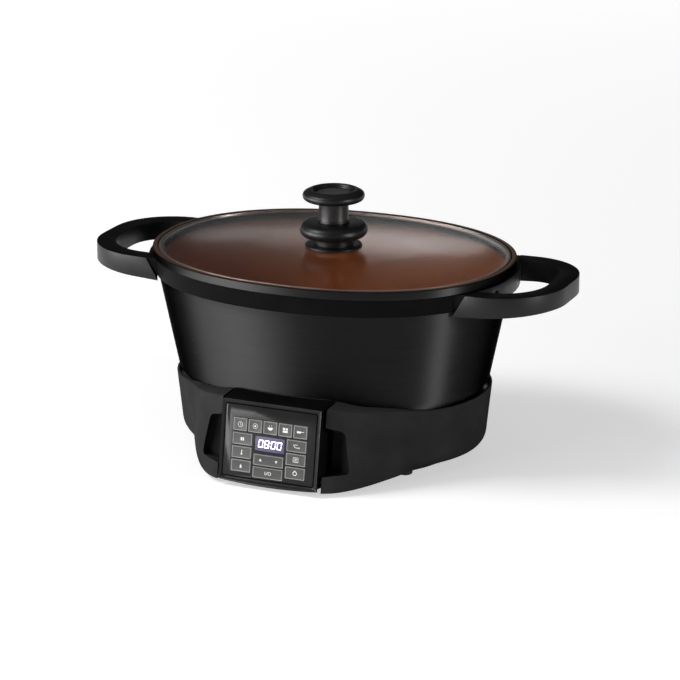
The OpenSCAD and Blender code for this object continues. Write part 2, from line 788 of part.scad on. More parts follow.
// Block where the cord's wires end
module terminal_block() color("#d9d6cc") centred() difference() {
    translate([terminal_place.x - terminal_size.x / 2, terminal_place.y - terminal_size.y / 2, bottom_top])
        cube(terminal_size);
    for (i = [-1 : 1])
        translate([i * terminal_size.x / 3, terminal_place.y, bottom_top + terminal_size.z / 2])
            rotate([90, 0, 0]) cylinder(r = terminal_size.z / 4, h = 2 * terminal_size.y, center = true);
}

// Console

// Section through panel and deck, as [up the panel, out of it]
module console_section() {
    turn = panel_tilt + deck_slope;
    back = [sin(turn), -cos(turn)];
    down = [-cos(turn), -sin(turn)];
    edge = [panel_len, 0];
    corner_run = panel_t * (1 - sin(turn)) / cos(turn);
    polygon([
        [-panel_bow, 0], edge, edge + deck_len * back, edge + deck_len * back + panel_t * down,
        edge + corner_run * back + panel_t * down, [-panel_bow, -panel_t]]);
}

// Room under the panel's bowed lower edge
module below_bow() {
    translate([0, 0, -past]) linear_extrude(2 * past) polygon(concat(
        [[-console_half - past, 0], [-console_half - past, -past], [console_half + past, -past],
         [console_half + past, 0]],
        [for (i = [0 : bow_steps]) let (u = 1 - 2 * i / bow_steps)
            [u * console_half, -panel_bow * (1 - u * u)]]));
}

// Opening for a key or a window, drawn at its own centre
module key_hole(w, h) {
    square([w + 2 * key_play, h + 2 * key_play], center = true);
}

// All openings of the panel
module panel_holes() {
    translate([0, start_y]) key_hole(mid_key_w, mid_key_h);
    translate([0, rocker_y]) key_hole(mid_key_w, mid_key_h);
    translate([0, window_y]) key_hole(mid_key_w, window_h);
    for (i = [0 : 4]) translate([top_x(i), top_y]) key_hole(top_key_w, top_key_h);
    for (side = [-1, 1], i = [0 : 2]) translate([side * side_x(), side_key_y(i)])
        key_hole(side_key_w, side_key_h);
}

// Places one child at each screw of the control board
module at_board_screws() {
    for (place = board_boss) both_sides() translate(place) children();
}

// Panel, deck, side and bottom flanges, moulded in one piece that fills the housing's bay
module control_console() color("#19191a") centred() difference() {
    on_panel() {
        translate([-console_half, 0, 0]) rotate([90, 0, 90]) linear_extrude(panel_w) console_section();
        both_sides() translate([console_half - panel_t, flange_low, -console_depth])
            cube([panel_t, panel_len - deck_corner_gap - flange_low, console_depth - eps]);
        translate([-console_half, flange_low, -console_depth])
            cube([panel_w, panel_t, console_depth - eps]);
        at_board_screws() translate([0, 0, -board_drop]) cylinder(r = board_boss_r, h = board_drop - eps);
    }
    on_panel() {
        below_bow();
        translate([0, 0, -panel_t - past]) linear_extrude(2 * past) panel_holes();
        at_board_screws() translate([0, 0, -board_drop - eps])
            cylinder(r = board_screw_r + fit, h = board_screw_l + screw_end_gap);
    }
    well(base_wall + seam, shelf_z);
}

module control_board() color("#2f6b3c") centred() on_panel() difference() {
    translate([-board_w / 2, board_low, -board_drop - board_t]) cube([board_w, board_len, board_t]);
    at_board_screws() translate([0, 0, -board_drop - past]) cylinder(r = board_screw_r + fit, h = 2 * past);
}

module control_board_screws() color("#8d8f92") centred() on_panel() at_board_screws() {
    translate([0, 0, -board_drop - board_t - board_head_h]) cylinder(r = board_head_r, h = board_head_h);
    translate([0, 0, -board_drop - board_t - eps]) cylinder(r = board_screw_r, h = board_t + board_screw_l);
}

// One switch behind each key and two behind the rocker
module tact_switches() color("#39393b") centred() on_panel() for (place = key_places)
    translate([place.x, place.y, -board_drop]) {
        linear_extrude(switch_h) square(switch_size, center = true);
        cylinder(r = plunger_r, h = switch_h + plunger_h);
    }

// Digit display on the control board
module display_module() color("#202226") centred() on_panel()
    translate([0, window_y, -board_drop]) linear_extrude(board_drop - panel_t - fit)
        square([mid_key_w + 2 * module_edge, window_h + 2 * module_edge], center = true);

// Smoked window over the display, flush with the panel
module display_window() color("#3c3a78") centred() on_panel()
    translate([0, window_y, -panel_t - fit]) linear_extrude(panel_t)
        square([mid_key_w, window_h], center = true);

// Key with a lip behind its opening and a stem that reaches for its switch
module key(x, y, w, h) {
    color("#4b4c4e") centred() on_panel() translate([x, y, 0]) {
        translate([0, 0, -key_back]) linear_extrude(key_back + key_proud)
            square([w, h], center = true);
        translate([0, 0, -key_back]) linear_extrude(key_lip_t)
            square([w + 2 * key_lip, h + 2 * key_lip], center = true);
        translate([0, 0, -key_back - stem_drop]) linear_extrude(stem_drop + eps)
            square(key_stem, center = true);
    }
}

module top_key(i) key(top_x(i), top_y, top_key_w, top_key_h);
module side_key(side, i) key(side * side_x(), side_key_y(i), side_key_w, side_key_h);

module key_start() key(0, start_y, mid_key_w, mid_key_h);
module key_top_1() top_key(0);
module key_top_2() top_key(1);
module key_top_3() top_key(2);
module key_top_4() top_key(3);
module key_top_5() top_key(4);
module key_left_1() side_key(-1, 2);
module key_left_2() side_key(-1, 1);
module key_left_3() side_key(-1, 0);
module key_right_1() side_key(1, 2);
module key_right_2() side_key(1, 1);
module key_right_3() side_key(1, 0);

// Rocker for less and more, on a pin that runs up the panel
module rocker_key() color("#4b4c4e") centred() on_panel() translate([0, rocker_y, 0]) difference() {
    union() {
        translate([0, 0, -panel_t]) linear_extrude(panel_t + key_proud)
            square([mid_key_w, mid_key_h], center = true);
        translate([0, 0, -rocker_axis - rocker_lug.x / 2])
            linear_extrude(rocker_axis + rocker_lug.x / 2 - panel_t + eps) square(rocker_lug, center = true);
        both_sides() translate([rocker_switch_x, 0, -key_back - stem_drop - key_travel + rocker_stem_gap])
            linear_extrude(key_back + stem_drop + key_travel - rocker_stem_gap - panel_t + eps)
                square(key_stem, center = true);
    }
    translate([0, 0, -rocker_axis]) rotate([90, 0, 0]) cylinder(r = rocker_bore, h = 2 * past, center = true);
}

module rocker_pin() color("#8d8f92") centred() on_panel()
    translate([0, rocker_y, -rocker_axis]) rotate([90, 0, 0])
        cylinder(r = rocker_pin_r, h = rocker_span, center = true);

// Bracket on the control board whose two ears hold the rocker's pin
module rocker_bracket() color("#b9bbbd") centred() on_panel()
    translate([0, rocker_y, -board_drop]) difference() {
        union() {
            linear_extrude(rocker_ear) square([rocker_ear_w, rocker_span], center = true);
            for (side = [-1, 1]) translate([0, side * (rocker_span - rocker_ear) / 2, 0])
                linear_extrude(board_drop - rocker_axis + rocker_ear_rise)
                    square([rocker_ear_w, rocker_ear], center = true);
        }
        translate([0, 0, board_drop - rocker_axis]) rotate([90, 0, 0])
            cylinder(r = rocker_pin_r + fit / 2, h = 2 * past, center = true);
    }

// Pot

// Places one child at each handle screw, with z along the screw towards its head
module at_handle_screws() {
    for (side = [0, 1], y = [-handle_screw_y, handle_screw_y]) mirror([side, 0, 0])
        on_belt(y) children();
}

// Places its children at a handle screw's seat on the +X side
module on_belt(y) {
    translate([oval_x(-belt_depth, y) + screw_seat, y, belt_bottom + belt_h / 2])
        rotate([0, 90, 0]) children();
}

// Cast pot: rim band, belt for the handles, leaning wall and round foot
module pot_shell() color("#2b2b2c") centred() difference() {
    oval_skin(concat(
        [for (p = arc([bend_in, round_z], pot_round, -90, -draft_angle, bend_steps)) p],
        [[wall_in(belt_bottom), belt_bottom], [-belt_depth, belt_bottom], [-belt_depth, belt_top],
         [-rim_edge, belt_top], [0, belt_top + rim_edge], [0, rim_z - rim_edge], [-rim_edge, rim_z],
         [-rim_w, rim_z], [-rim_w, ledge_z], [ledge_in, ledge_z], [ledge_in, ledge_end_z]],
        [for (p = arc([bend_in, round_z], pot_round - pot_wall, -draft_angle, -90, bend_steps)) p]));
    at_handle_screws() translate([0, 0, -screw_seat - screw_bite])
        cylinder(r = handle_screw_r + fit / 2, h = past);
}

// Outline of a handle's loop, grown outwards by an offset
module loop_outline(grow) {
    r = handle_corner + grow;
    corner = [handle_x - handle_corner, handle_y - handle_corner];
    polygon(concat(
        [[handle_inside, -handle_y - grow]],
        arc([corner.x, -corner.y], r, -90, 0, corner_steps),
        arc(corner, r, 0, 90, corner_steps),
        [[handle_inside, handle_y + grow]]));
}

// Loop handle that lies in the belt and is screwed to it
module handle() {
    difference() {
        translate([0, 0, handle_z]) linear_extrude(handle_h) difference() {
            loop_outline(0);
            difference() {
                loop_outline(-handle_bar);
                polygon(oval(handle_web - belt_depth));
            }
            polygon(oval(-belt_depth));
        }
        for (side = [0, 1]) mirror([0, side, 0]) root_cut();
        for (y = [-handle_screw_y, handle_screw_y])
            on_belt(y) {
                cylinder(r = screw_head_r + fit, h = handle_web);
                translate([0, 0, -past]) cylinder(r = handle_screw_r + fit, h = 2 * past);
            }
    }
}

// Slanted end at the root of a bar
module root_cut() {
    root_x = oval_x(-belt_depth, handle_y);
    low = root_x + slant_lead;
    translate([0, handle_y + eps, 0]) rotate([90, 0, 0]) linear_extrude(slant_cut) polygon([
        [root_x - past, handle_z - eps], [low, handle_z - eps],
        [low + handle_slant, handle_z + handle_h + eps], [root_x - past, handle_z + handle_h + eps]]);
}

module handle_right() color("#1a1a1b") centred() handle();
module handle_left() color("#1a1a1b") centred() mirror([1, 0, 0]) handle();

module handle_screws() color("#8d8f92") centred() at_handle_screws() {
    cylinder(r = screw_head_r, h = screw_head_h);
    translate([0, 0, -screw_seat - screw_bite + fit])
        cylinder(r = handle_screw_r, h = screw_seat + screw_bite);
}

// Lid

module lid_glass() color("#9fb0b8", 0.45) centred() difference() {
    oval_skin(concat(
        [for (off = glass_rings) [off, ledge_z + band_t + dome(off)]],
        [[glass_in - fit, ledge_z + band_t], [glass_in - fit, rim_z - band_t]],
        [for (i = [dome_steps : -1 : 0]) [glass_rings[i], rim_z - band_t + dome(glass_rings[i])]]));
    translate([0, 0, ledge_z]) cylinder(r = knob_screw_r + 2 * fit, h = past);
    translate([vent_x, vent_y, ledge_z]) cylinder(r = vent_r + vent_wall + fit, h = past);
}

// Steel band folded round the edge of the glass
module lid_band() color("#b9b2aa") centred() oval_ring([
    [lid_in, ledge_z], [lid_in, rim_z], [band_in, rim_z], [band_in, rim_z - band_t],
    [glass_in, rim_z - band_t], [glass_in, ledge_z + band_t], [band_in, ledge_z + band_t],
    [band_in, ledge_z]]);

// Eyelet that lets steam out
module steam_vent() color("#c9cacb") centred() translate([vent_x, vent_y, vent_z]) rotate_extrude() polygon([
    [vent_r, -vent_lip_h], [vent_r + vent_lip, -vent_lip_h], [vent_r + vent_lip, 0], [vent_r + vent_wall, 0],
    [vent_r + vent_wall, glass_t], [vent_r + vent_lip, glass_t],
    [vent_r + vent_lip, glass_t + vent_lip_h / 2], [vent_r + vent_lip / 2, glass_t + vent_lip_h],
    [vent_r, glass_t + vent_lip_h]]);

// Knob

module knob_washer() color("#2a2a2a") centred() translate([0, 0, washer_z]) difference() {
    cylinder(r = washer_r, h = washer_h);
    translate([0, 0, -past]) cylinder(r = knob_bore, h = 2 * past);
}

module knob_screw() color("#b4b6b8") centred() {
    translate([0, 0, washer_z - knob_head_h]) cylinder(r = knob_head_r, h = knob_head_h);
    translate([0, 0, washer_z - eps]) cylinder(r = knob_screw_r, h = cap_z + knob_bite - washer_z);
}

module knob_flange() color("#161617") centred() translate([0, 0, glass_top_z]) rotate_extrude() polygon([
    [knob_bore, 0], [flange_r, 0], [flange_r, flange_h / 2], [flange_r - flange_h / 2, flange_h],
    [knob_bore, flange_h]]);

module knob_collar() color("#161617") centred() translate([0, 0, collar_z]) rotate_extrude() polygon(concat(
    [[knob_bore, 0], [neck_r, 0], [neck_r, neck_h]],
    arc([disc_r - disc_edge, neck_h + disc_edge], disc_edge, -90, disc_turn, edge_steps),
    [[stem_r + shoulder_w, neck_h + disc_h], [knob_bore, neck_h + disc_h]]));

module knob_stem() color("#3a3a3b") centred() translate([0, 0, stem_z]) rotate_extrude() polygon([
    [knob_bore, 0], [stem_r, 0], [stem_r, stem_h], [knob_bore, stem_h]]);

module knob_cap() color("#161617") centred() translate([0, 0, cap_z]) rotate_extrude() polygon(concat(
    [[0, knob_bite + fit], [knob_bore, knob_bite + fit], [knob_bore, 0], [stem_r + shoulder_w, 0]],
    arc([cap_r - cap_edge, cap_edge + cap_lift], cap_edge, -90, cap_turn, edge_steps),
    [[cap_r - dish_w + cap_dish, cap_h], [cap_r - dish_w, cap_h],
     [cap_r - dish_w - cap_dish, cap_h - cap_dish], [0, cap_h - cap_dish]]));

base_housing();
bottom_plate();
rubber_feet();
bottom_screws();
cord_gland();
heat_shield();
shield_screws();
heating_plate();
heating_element();
heater_posts();
thermal_fuse();
sensor_cup();
sensor_clip();
sensor_spring();
power_board();
power_board_screws();
power_relay();
filter_capacitor();
terminal_block();
control_console();
control_board();
control_board_screws();
tact_switches();
display_module();
display_window();
rocker_bracket();
rocker_pin();
rocker_key();
key_start();
key_top_1();
key_top_2();
key_top_3();
key_top_4();
key_top_5();
key_left_1();
key_left_2();
key_left_3();
key_right_1();
key_right_2();
key_right_3();
pot_shell();
handle_left();
handle_right();
handle_screws();
lid_glass();
lid_band();
steam_vent();
knob_washer();
knob_screw();
knob_flange();
knob_collar();
knob_stem();
knob_cap();
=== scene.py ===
"""Looks of an oval multicooker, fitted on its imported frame.

The scene is in metres, +Z up, with the control panel towards -Y. Named lengths are in millimetres.
"""

from math import atan, atan2, cos, degrees, exp, pi, radians, sin, tan

import bpy
from mathutils import Matrix, Vector


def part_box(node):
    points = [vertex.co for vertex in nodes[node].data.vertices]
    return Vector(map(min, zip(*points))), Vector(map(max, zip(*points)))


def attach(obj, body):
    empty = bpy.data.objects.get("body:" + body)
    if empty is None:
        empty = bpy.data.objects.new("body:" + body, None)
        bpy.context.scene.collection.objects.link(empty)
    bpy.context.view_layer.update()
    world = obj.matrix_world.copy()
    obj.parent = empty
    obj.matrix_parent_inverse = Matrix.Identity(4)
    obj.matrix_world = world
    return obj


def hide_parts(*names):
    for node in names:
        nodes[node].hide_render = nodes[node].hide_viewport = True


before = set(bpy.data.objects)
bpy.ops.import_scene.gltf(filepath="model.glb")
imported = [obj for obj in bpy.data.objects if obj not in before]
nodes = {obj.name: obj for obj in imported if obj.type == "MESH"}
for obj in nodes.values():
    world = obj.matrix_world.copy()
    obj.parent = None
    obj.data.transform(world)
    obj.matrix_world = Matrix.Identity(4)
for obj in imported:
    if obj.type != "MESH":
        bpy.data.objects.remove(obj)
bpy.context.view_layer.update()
MM = 0.001

# Pot and lid, as in the solids, apart from the draft, the step under the belt, the coat's gap
# and the bead
rim_a, rim_b, oval_power = 185, 145, 2.15
base_h, pot_sink, pot_h = 72, 6, 136
pot_wall, pot_draft, pot_round = 4.2, 0.20, 20
rim_band_h, rim_w, ledge_w, coat_gap = 8.4, 5.5, 4, 8
belt_h, belt_depth, belt_step = 18, 2.4, 3.0
glass_t, glass_rise, glass_flat = 3.6, 4.5, 46
band_t, band_cover, lid_play, bead_w, bead_drop = 0.7, 5, 0.5, 2.2, 0.2
pot_z = base_h - pot_sink
rim_z = pot_z + pot_h
belt_top = rim_z - rim_band_h
belt_bottom = belt_top - belt_h
ledge_z = rim_z - glass_t - 2 * band_t
ledge_in = -rim_w - ledge_w
lid_in = -rim_w - lid_play
band_in = lid_in - band_cover
glass_in = lid_in - band_t
dome_in = band_in - 1
flat_in = glass_flat - rim_b

# Handles: where their roots and bars lie, and how far these are drawn out
root_cut, root_step, root_shift, root_end, root_face = 12, 1.6, 4, 180, 4
bar_inside, bar_out, bar_start, bar_len = 59, 190, 160, 85
bar_lift, bar_drop, handle_edge = 1.5, 4.5, 1.5

# Panel: its own axes have x to the right, y up the panel and z out of it
panel_tilt, panel_w, console_out, console_skirt_z = 10, 104, 18.5, 4
panel_low, panel_proud, deck_z = 2, 0.8, 84.4
keypad_w, key_gap, key_proud = 78, 1.6, 0.9
top_key_h, side_key_w, side_key_h, mid_key_h = 12.6, 20.6, 11.6, 10.8
window_h, mid_gap, window_gap, top_gap = 14.8, 2.7, 3, 2
start_y, side_rise, side_spare = 11.6, 4, 0.1
panel_len = (deck_z - console_skirt_z) / cos(radians(panel_tilt)) - panel_low
mid_key_w = keypad_w - 2 * side_key_w - 2 * mid_gap
top_key_w = (keypad_w - 4 * key_gap) / 5
rocker_y = start_y + mid_key_h + key_gap
side_y = start_y + side_rise
side_pitch = side_key_h + key_gap + side_spare
side_x = (keypad_w - side_key_w) / 2
window_y = rocker_y + mid_key_h / 2 + window_gap + window_h / 2
top_y = side_y + 2 * side_pitch + side_key_h / 2 + top_gap + top_key_h / 2
knob_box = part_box("knob_cap")
pot_y = (knob_box[0].y + knob_box[1].y) / 2
panel_place = Vector((
    0,
    pot_y + MM * (-rim_b - console_out + panel_low * sin(radians(panel_tilt)) - panel_proud),
    MM * (console_skirt_z + panel_low * cos(radians(panel_tilt)))))
on_panel = Matrix.Translation(panel_place) @ Matrix.Rotation(radians(90 - panel_tilt), 4, "X")
panel_out = (on_panel.to_3x3() @ Vector((0, 0, 1))).normalized()


# Camera, at the photograph's place

def stand_at(what, place, target):
    """Puts a camera or a lamp in the scene, turned towards its target."""
    stand = bpy.data.objects.new(what.name, what)
    bpy.context.scene.collection.objects.link(stand)
    stand.location = place
    stand.rotation_euler = (Vector(target) - Vector(place)).to_track_quat("-Z", "Y").to_euler()
    return stand


def set_camera(place, target, lens):
    eye = bpy.data.cameras.new("camera")
    eye.lens = lens
    eye.sensor_width = 36
    eye.clip_end = 60
    bpy.context.scene.camera = stand_at(eye, place, target)


set_camera((1.1429, -2.6431, 1.0168), (0.00577, 0.01217, 0.10604), 159.33)


# Finishes

def bare_finish(name, colour, roughness, metallic=0.0, specular=0.5):
    """New material with its even values on the shader's own sockets."""
    finish = bpy.data.materials.new(name)
    finish.use_nodes = True
    shader = finish.node_tree.nodes["Principled BSDF"]
    shader.inputs["Base Color"].default_value = (*colour, 1)
    shader.inputs["Roughness"].default_value = roughness
    shader.inputs["Metallic"].default_value = metallic
    shader.inputs["Specular IOR Level"].default_value = specular
    return finish, shader


def pattern(finish, scale, stretch=(1, 1, 1), detail=2.0):
    """Noise on Object coordinates; returns the socket of its value."""
    tree = finish.node_tree
    place = tree.nodes.new("ShaderNodeTexCoord")
    mapping = tree.nodes.new("ShaderNodeMapping")
    mapping.inputs["Scale"].default_value = stretch
    noise = tree.nodes.new("ShaderNodeTexNoise")
    noise.inputs["Scale"].default_value = scale
    noise.inputs["Detail"].default_value = detail
    tree.links.new(place.outputs["Object"], mapping.inputs["Vector"])
    tree.links.new(mapping.outputs["Vector"], noise.inputs["Vector"])
    return noise.outputs["Fac"]


def ramped(tree, value, *stops):
    """Colour that runs through (position, colour) stops with a value; returns its socket."""
    ramp = tree.nodes.new("ShaderNodeValToRGB")
    elements = ramp.color_ramp.elements
    for element, (position, colour) in zip(elements, (stops[0], stops[-1])):
        element.position, element.color = position, (*colour, 1)
    for position, colour in stops[1:-1]:
        elements.new(position).color = (*colour, 1)
    tree.links.new(value, ramp.inputs["Fac"])
    return ramp.outputs["Color"]


def ranged(tree, value, start, end, low, high):
    """Value carried over from one range to another; returns its socket."""
    span = tree.nodes.new("ShaderNodeMapRange")
    limits = {"From Min": start, "From Max": end, "To Min": low, "To Max": high}
    for name, limit in limits.items():
        span.inputs[name].default_value = limit
    tree.links.new(value, span.inputs["Value"])
    return span.outputs["Result"]


def tint(finish, shader, value, low, high, start=0.3, end=0.7):
    """Base colour that runs from one tone to another with a pattern's value."""
    tree = finish.node_tree
    tree.links.new(ramped(tree, value, (start, low), (end, high)), shader.inputs["Base Color"])


def gloss(finish, shader, value, low, high):
    """Roughness that follows a pattern's value."""
    tree = finish.node_tree
    tree.links.new(ranged(tree, value, 0.25, 0.75, low, high), shader.inputs["Roughness"])


def grain(finish, shader, value, strength, depth):
    """Fine relief that follows a pattern's value."""
    tree = finish.node_tree
    bump = tree.nodes.new("ShaderNodeBump")
    bump.inputs["Strength"].default_value = strength
    bump.inputs["Distance"].default_value = depth
    tree.links.new(value, bump.inputs["Height"])
    tree.links.new(bump.outputs["Normal"], shader.inputs["Normal"])


def lift(colour, by):
    return tuple(c * by for c in colour)


def moulded(name, colour, roughness, specular=0.5, spark=0.12):
    """Moulded plastic with a fine spark-eroded grain and faintly uneven gloss."""
    clouds, mottle, pits, uneven = 35, 420, 2400, 0.05
    finish, shader = bare_finish(name, colour, roughness, 0.0, specular)
    tint(finish, shader, pattern(finish, clouds), lift(colour, 0.86), lift(colour, 1.14))
    gloss(finish, shader, pattern(finish, mottle), roughness - uneven, roughness + uneven)
    grain(finish, shader, pattern(finish, pits), spark, 0.0002)
    return finish


def drawn_metal(name, colour, roughness, metallic, stretch,
                specular=0.5, lines=0.05, across=0.0, edge=1.0):
    """Metal or metallic paint with fine lines along the way it was drawn or turned."""
    fineness, detail, uneven = 60, 3.0, 0.06
    finish, shader = bare_finish(name, colour, roughness, metallic, specular)
    shader.inputs["Specular Tint"].default_value = (edge, edge, edge, 1)
    shader.inputs["Anisotropic"].default_value = across
    shader.inputs["Anisotropic Rotation"].default_value = 0.25
    fine = pattern(finish, fineness, stretch, detail)
    tint(finish, shader, fine, lift(colour, 0.88), lift(colour, 1.12))
    gloss(finish, shader, fine, roughness - uneven, roughness + uneven)
    grain(finish, shader, fine, lines, 0.0001)
    return finish


def speckled(name, dark, light, roughness, metallic, scale, specular=0.5):
    """Coat with fine flakes of a second tone in it."""
    uneven = 0.06
    finish, shader = bare_finish(name, dark, roughness, metallic, specular)
    flakes = pattern(finish, scale, detail=4.0)
    tint(finish, shader, flakes, dark, light, 0.38, 0.62)
    gloss(finish, shader, pattern(finish, scale / 4), roughness - uneven, roughness + uneven)
    grain(finish, shader, flakes, 0.08, 0.0002)
    return finish


def clear_glass(name, colour, roughness):
    """Glass with a faint uneven haze."""
    waves, uneven = 18, 0.03
    finish, shader = bare_finish(name, colour, roughness)
    shader.inputs["Transmission Weight"].default_value = 1.0
    shader.inputs["IOR"].default_value = 1.34
    gloss(finish, shader, pattern(finish, waves), roughness, roughness + uneven)
    return finish


def lit_face(name, colour, glow, strength, centre, spread):
    """Dark window with a soft glow round the lit digits behind it."""
    finish, shader = bare_finish(name, colour, 0.16)
    tree = finish.node_tree
    place = tree.nodes.new("ShaderNodeTexCoord")
    mapping = tree.nodes.new("ShaderNodeMapping")
    mapping.vector_type = "TEXTURE"
    mapping.inputs["Location"].default_value = centre
    mapping.inputs["Scale"].default_value = spread
    ball = tree.nodes.new("ShaderNodeTexGradient")
    ball.gradient_type = "SPHERICAL"
    tree.links.new(place.outputs["Object"], mapping.inputs["Vector"])
    tree.links.new(mapping.outputs["Vector"], ball.inputs["Vector"])
    halo = ramped(tree, ball.outputs["Fac"], (0, lift(glow, 0.12)), (0.75, glow))
    tree.links.new(halo, shader.inputs["Emission Color"])
    shader.inputs["Emission Strength"].default_value = strength
    return finish


def glowing(name, colour, strength):
    """Lit bars of a display."""
    finish, shader = bare_finish(name, colour, 0.4)
    tint(finish, shader, pattern(finish, 900), lift(colour, 0.92), colour)
    shader.inputs["Emission Color"].default_value = (*colour, 1)
    shader.inputs["Emission Strength"].default_value = strength
    return finish


# Plastics: colour, roughness, specular level, depth of the grain
plastics = {
    "housing_black": ((0.0255, 0.0255, 0.0258), 0.5, 0.0),
    "console_black": ((0.0040, 0.0040, 0.0042), 0.5, 0.0),
    "panel_film": ((0.016, 0.016, 0.0165), 0.14, 0.13, 0.03),
    "key_grey": ((0.060, 0.0595, 0.059), 0.16, 0.24, 0.02),
    "key_border": ((0.20, 0.197, 0.19), 0.4, 0.4, 0.04),
    "sign_white": ((0.72, 0.72, 0.71), 0.5, 0.3, 0.04),
    "handle_black": ((0.0055, 0.0055, 0.0057), 0.40, 0.25),
    # The next coat is near-black, matte painted shade, put on the pot's recessed belt, the rim's
    # inner face and the handles' tops and roots
    "belt_black": ((0.0045, 0.0045, 0.0048), 0.45, 0.02),
    "foot_rubber": ((0.009, 0.009, 0.009), 0.7, 0.3, 0.2),
    "relay_blue": ((0.020, 0.075, 0.24), 0.4),
    "capacitor_yellow": ((0.56, 0.36, 0.030), 0.4),
    "switch_black": ((0.026, 0.026, 0.027), 0.5),
    "display_dark": ((0.012, 0.012, 0.014), 0.35),
    "knob_black": ((0.0055, 0.0055, 0.0058), 0.40, 0.30, 0.01),
    # knob_dish is a lighter grey for the dish's flat floor: partly a lighter insert, partly painted
    # light from above
    "knob_dish": ((0.048, 0.048, 0.049), 0.5, 0.3, 0.02),
}

# Metals: colour, roughness, metallic, stretch of the lines, specular level, depth of the lines,
# how far the gloss is drawn out, tint at a grazing look
round_the_pot = (0.25, 0.25, 40)
metals = {
    "pot_black": ((0.039, 0.039, 0.040), 0.60, 1.0, round_the_pot, 0.3, 0.03, 1.0, 0.2),
    "rim_grey": ((0.050, 0.049, 0.049), 0.58, 1.0, round_the_pot, 0.4, 0.03, 1.0, 0.2),
    "rim_bronze": ((0.13, 0.066, 0.042), 0.40, 0.7, round_the_pot, 0.3, 0.02),
    "lid_steel": ((0.44, 0.34, 0.29), 0.40, 1.0, round_the_pot, 0.5, 0.02),
    "knob_stem_dark": ((0.042, 0.041, 0.041), 0.36, 1.0, (20, 20, 0.6), 0.5, 0.02),
    "steel": ((0.42, 0.42, 0.43), 0.32, 1.0, (1, 1, 12)),
    "screw_dark": ((0.05, 0.05, 0.052), 0.4, 1.0, (12, 1, 1)),
    "shield_metal": ((0.46, 0.46, 0.46), 0.38, 1.0, (1, 14, 1)),
    "heater_metal": ((0.34, 0.34, 0.345), 0.42, 1.0, (14, 14, 1)),
    "element_metal": ((0.19, 0.185, 0.18), 0.45, 1.0, (6, 6, 6)),
}

# Coats: dark tone, light tone, roughness, metallic, fineness of the flakes, specular level
coats = {
    "copper_coat": ((0.29, 0.074, 0.014), (0.58, 0.165, 0.034), 0.45, 0.1, 800, 0.1),
    "ceramic": ((0.68, 0.66, 0.60), (0.76, 0.74, 0.68), 0.55, 0.0, 700),
    "board_green": ((0.018, 0.10, 0.040), (0.024, 0.13, 0.052), 0.4, 0.0, 500),
}

finishes = {}
for make, looks in ((moulded, plastics), (drawn_metal, metals), (speckled, coats)):
    for name, look in looks.items():
        finishes[name] = make(name, *look)
finishes["lid_glass"] = clear_glass("lid_glass", (0.93, 0.95, 0.95), 0.11)
window_centre = on_panel @ Vector((0, window_y * MM, 0))
finishes["window_smoked"] = lit_face(
    "window_smoked", (0.012, 0.011, 0.018), (0.080, 0.060, 0.215), 1.0,
    window_centre, (0.021, 0.012, 0.012))
finishes["digit_white"] = glowing("digit_white", (0.90, 0.88, 1.0), 1.6)


# Work at the bench: picking, copying, easing and turning pieces

def put_down():
    bpy.ops.object.select_all(action="DESELECT")


def take(*pieces):
    """Picks pieces, the first of them to work on."""
    put_down()
    for piece in pieces:
        piece.select_set(True)
    bpy.context.view_layer.objects.active = pieces[0]


def settle():
    """Carries the place, turn and size of what is picked over into its mesh."""
    bpy.ops.object.transform_apply(location=True, rotation=True, scale=True)


def open_piece(piece, element="VERT"):
    take(piece)
    bpy.ops.object.mode_set(mode="EDIT")
    bpy.ops.mesh.select_mode(type=element)


def open_all(piece):
    """Opens a piece with all of it picked."""
    open_piece(piece)
    bpy.ops.mesh.select_all(action="SELECT")


def close_piece():
    bpy.ops.object.mode_set(mode="OBJECT")


def smooth(piece, angle=34):
    take(piece)
    bpy.ops.object.shade_smooth_by_angle(angle=radians(angle))


def even_normals(piece):
    """Keeps large flat faces flat beside their rounded edges."""
    apply_modifier(piece, "WEIGHTED_NORMAL", keep_sharp=True)


def coat(piece, *names):
    piece.data.materials.clear()
    for name in names:
        piece.data.materials.append(finishes[name])


def fit(piece, body, slot, *stands_for):
    """Puts a finished piece on its body, in place of the solids that it stands for."""
    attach(piece, body)
    if stands_for:
        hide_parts(*stands_for)
    return piece


def copy_of(node, name, joined=True):
    """Own copy of a solid's mesh, its loose triangles merged and, if wanted, flat faces joined."""
    piece = bpy.data.objects.new(name, nodes[node].data.copy())
    bpy.context.scene.collection.objects.link(piece)
    open_all(piece)
    bpy.ops.mesh.remove_doubles(threshold=2e-6)
    if joined:
        bpy.ops.mesh.dissolve_limited(angle_limit=radians(0.6))
    close_piece()
    return piece


def ease_edges(piece, width, sharp=32, segments=3):
    """Rounds every edge sharper than an angle."""
    open_piece(piece, "EDGE")
    bpy.ops.mesh.select_all(action="DESELECT")
    bpy.ops.mesh.edges_select_sharp(sharpness=radians(sharp))
    bpy.ops.mesh.bevel(
        offset=width * MM, segments=segments, profile=0.5, clamp_overlap=True, miter_outer="ARC")
    close_piece()
    return piece


def pick_edges(piece, chosen, sharp=0):
    """Opens a piece with the edges picked that are sharp enough and whose ends pass a test."""
    open_piece(piece, "EDGE")
    bpy.ops.mesh.select_all(action="DESELECT")
    bpy.ops.mesh.edges_select_sharp(sharpness=radians(sharp))
    close_piece()
    for elements in (piece.data.vertices, piece.data.polygons):
        elements.foreach_set("select", [False] * len(elements))
    points = piece.data.vertices
    for edge in piece.data.edges:
        edge.select = edge.select and chosen(*(points[v].co / MM for v in edge.vertices))
    open_piece(piece, "EDGE")


def pick_faces(piece, chosen):
    """Opens a piece with the faces picked that pass a test."""
    open_piece(piece, "FACE")
    bpy.ops.mesh.select_all(action="DESELECT")
    close_piece()
    for face in piece.data.polygons:
        face.select = chosen(face)
    open_piece(piece, "FACE")


